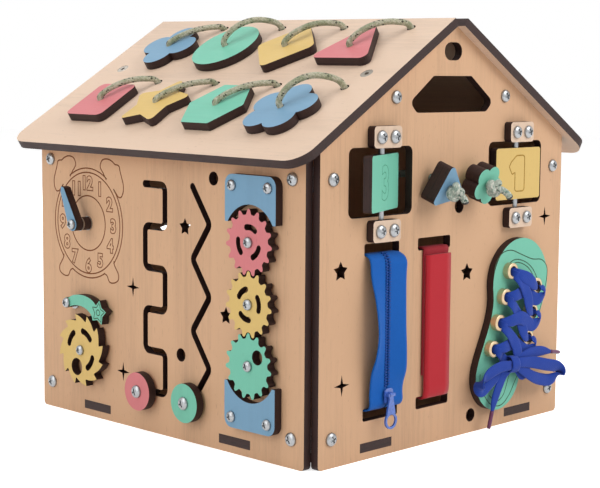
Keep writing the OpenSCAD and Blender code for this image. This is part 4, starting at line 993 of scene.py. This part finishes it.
# Radii of the dial's two circles and of the case round them, and the case's arcs in degrees
DIAL_R = (36, 19.5)
CASE_R = 39
CASE_ARCS = ((-62, -118), (56.7, 123.3), (-42.5, 41.9), (138.1, 222.5))
dial = [drawn(LEFT, round_line(CLOCK, r), LINE_UP, ring=True) for r in DIAL_R]
dial += [drawn(LEFT, round_line(CLOCK, CASE_R, first, last), LINE_UP) for first, last in CASE_ARCS]
for way in (1, -1):
    dial += [drawn(LEFT, CLOCK + np.array(shape) * (way, 1), LINE_UP, count=90) for shape in (BELL, FOOT)]
digits = [numeral(LEFT, str((k - 1) % 12 + 1), CLOCK + DIGITS[k], LINE_UP, *DIAL_NUMERAL)
          for k in range(12)]
piece("clock_dial_lines", dial, burnt_line, "house")
piece("clock_dial_numerals", [], burnt_line, "house", digits)

# The pawl's star: its middle, its tips' and dips' radii, the first tip's angle, the radius of the round line
# inside it, and half the width of its lines
PAWL_STAR = np.array([-98 + 35.9, 81 - 3.2])
STAR_R = (7.2, 3.9)
STAR_FIRST = 224
STAR_ROUND = 2
STAR_LINE = 0.35
PAWL_FACE = 1 + PLY + LINE_UP
star = [PAWL_STAR + np.array([math.cos(a), math.sin(a)]) * STAR_R[k % 2]
        for k, a in enumerate(np.radians(STAR_FIRST + 36 * np.arange(10)))]
star_lines = [drawn(LEFT, points, PAWL_FACE, STAR_LINE, ring=True)
              for points in (outlined(star, 4), round_line(PAWL_STAR, STAR_ROUND))]
piece("pawl_star_line", star_lines, dark_line, "pawl")

# Height of the turning plates' middles: the sill, the gap over it and half a plate
FLIP_Z = 157 + 3.8 + 18
FLIP_FACE = PLY / 2 + LINE_UP
# Right of the gable's middle: the turned plate, and the point that the other one's numeral is drawn round
TEAL_FLIP_X = -69.7
ONE_X = 69
TEAL_FLIP = ((TEAL_FLIP_X, FRONT_FACE, 0), (math.cos(FLIP_TURN), math.sin(FLIP_TURN), 0), (0, 0, 1))
PLATE_NUMERAL = (30, 0.9, 0.3)
ONE = ((-1, 12.6), (5.8, 12.6), (7.4, 11.8), (7.8, 10.6), (7.8, 0), (7.8, -10.8), (7.2, -12),
       (5.8, -12.6), (-1, -12.6), (-2.4, -12), (-3, -10.8), (-3, -4), (-3, 0.8), (-6, -0.4), (-6.8, 0.2),
       (-9.6, 5), (-7.4, 8.2), (-3, 11.4))
one = outlined(np.array(ONE) + (ONE_X, FLIP_Z), 3)
piece("yellow_plate_numeral", [drawn(FRONT, one, FLIP_FACE, ring=True)], ochre_line, "yellow_flip_plate")
three = numeral(TEAL_FLIP, "3", (0, FLIP_Z), FLIP_FACE, *PLATE_NUMERAL)
piece("teal_plate_numeral", [], faint_line, "teal_flip_plate", [three])

SHOE_LINES = (
    ((41, 109.5), (42.6, 116.5), (49.8, 124), (59.4, 125.4), (70.8, 121.8), (84.4, 117.2), (97.2, 115),
     (102, 110.2), (102.4, 103), (99.4, 92.4), (95.8, 81.8), (91, 70)),
    ((56, 115.4), (63.2, 118.2), (74.8, 116.4), (84.8, 110.4), (91.4, 101.6)),
    ((59.6, 113.8), (65.2, 116), (74, 114.4), (82, 109.6), (87.4, 103)),
    ((27.6, 41.5), (27.8, 34.4), (32.8, 25.6), (41.2, 17.8), (52.6, 16.4), (60, 21.4), (66.4, 30),
     (71, 36.6)),
    ((38.4, 24.8), (45.8, 19.4), (53.4, 22.4), (57.2, 29), (60.4, 37)))
SHOE_LINE = 0.36
shoe_lines = [drawn(FRONT, points, PLY + LINE_UP, SHOE_LINE, count=60) for points in SHOE_LINES]
piece("shoe_lines", shoe_lines, dark_line, "house")

# ---------- Light, floor and background ----------

# Lamp: direction it comes from, size in metres, power in watts
LAMPS = {
    "key": ((0.35, -1.0, 0.75), 1.4, 20),
    "fill": ((-1.0, 0.15, 0.45), 1.6, 13),
    "top": ((-0.25, 0.1, 1.0), 1.4, 10),
    "rear": ((0.8, 1.0, 0.6), 1.6, 12),
}
LAMP_DISTANCE = 1.8
LAMP_AIM = (0, 0, 0.14)
for lamp_name, (way, size, power) in LAMPS.items():
    data = bpy.data.lights.new(lamp_name, "AREA")
    data.shape = "DISK"
    data.size = size
    data.energy = power
    lamp = placed(lamp_name, data)
    z = np.array(way) / np.linalg.norm(way)
    x = np.cross((0, 0, 1), z)
    x /= np.linalg.norm(x)
    stand = Matrix(np.column_stack([x, np.cross(z, x), z]).tolist()).to_4x4()
    stand.translation = (z * LAMP_DISTANCE + LAMP_AIM).tolist()
    lamp.matrix_world = stand

# How bright the world is for the object, and how bright the paper glows for the camera and in gloss
AMBIENT = 0.36
PAPER_GLOW = 0.64
PAPER_GREY = 0.86
world = bpy.data.worlds.new("studio")
bpy.context.scene.world = world
world.use_nodes = True
sky = world.node_tree
sky.nodes.clear()
ray = add(sky, "LightPath").outputs
seen = add(sky, "Math", {0: ray["Is Camera Ray"], 1: ray["Is Glossy Ray"]}, operation="MAXIMUM")
seen = add(sky, "Math", {0: seen, 1: ray["Is Transmission Ray"]}, operation="MAXIMUM")
strength = add(sky, "MapRange", {"Value": seen, 3: AMBIENT, 4: 1.0})
studio = add(sky, "Background", {"Color": (1, 1, 1, 1), "Strength": strength})
add(sky, "OutputWorld", {0: studio})

FLOOR_HALF = 4.0
floor_mesh = bpy.data.meshes.new("floor")
corners = [(x * FLOOR_HALF, y * FLOOR_HALF, 0) for x, y in ((-1, -1), (1, -1), (1, 1), (-1, 1))]
floor_mesh.from_pydata(corners, [], [(0, 1, 2, 3)])
floor = placed("floor", floor_mesh)
paper, paper_tree, paper_shader = blank("white_studio_paper", Roughness=0.9, Specular_IOR_Level=0.1,
                                        Base_Color=(PAPER_GREY, PAPER_GREY, PAPER_GREY, 1.0))
ray = add(paper_tree, "LightPath").outputs
seen = add(paper_tree, "Math", {0: ray["Is Camera Ray"], 1: ray["Is Glossy Ray"]}, operation="MAXIMUM")
paper_glow = add(paper_tree, "Math", {0: seen, 1: PAPER_GLOW}, operation="MULTIPLY")
wire(paper_tree, paper_shader, {"Emission Color": (1, 1, 1, 1), "Emission Strength": paper_glow})
floor_mesh.materials.append(paper)

bpy.context.scene.view_settings.view_transform = "Standard"
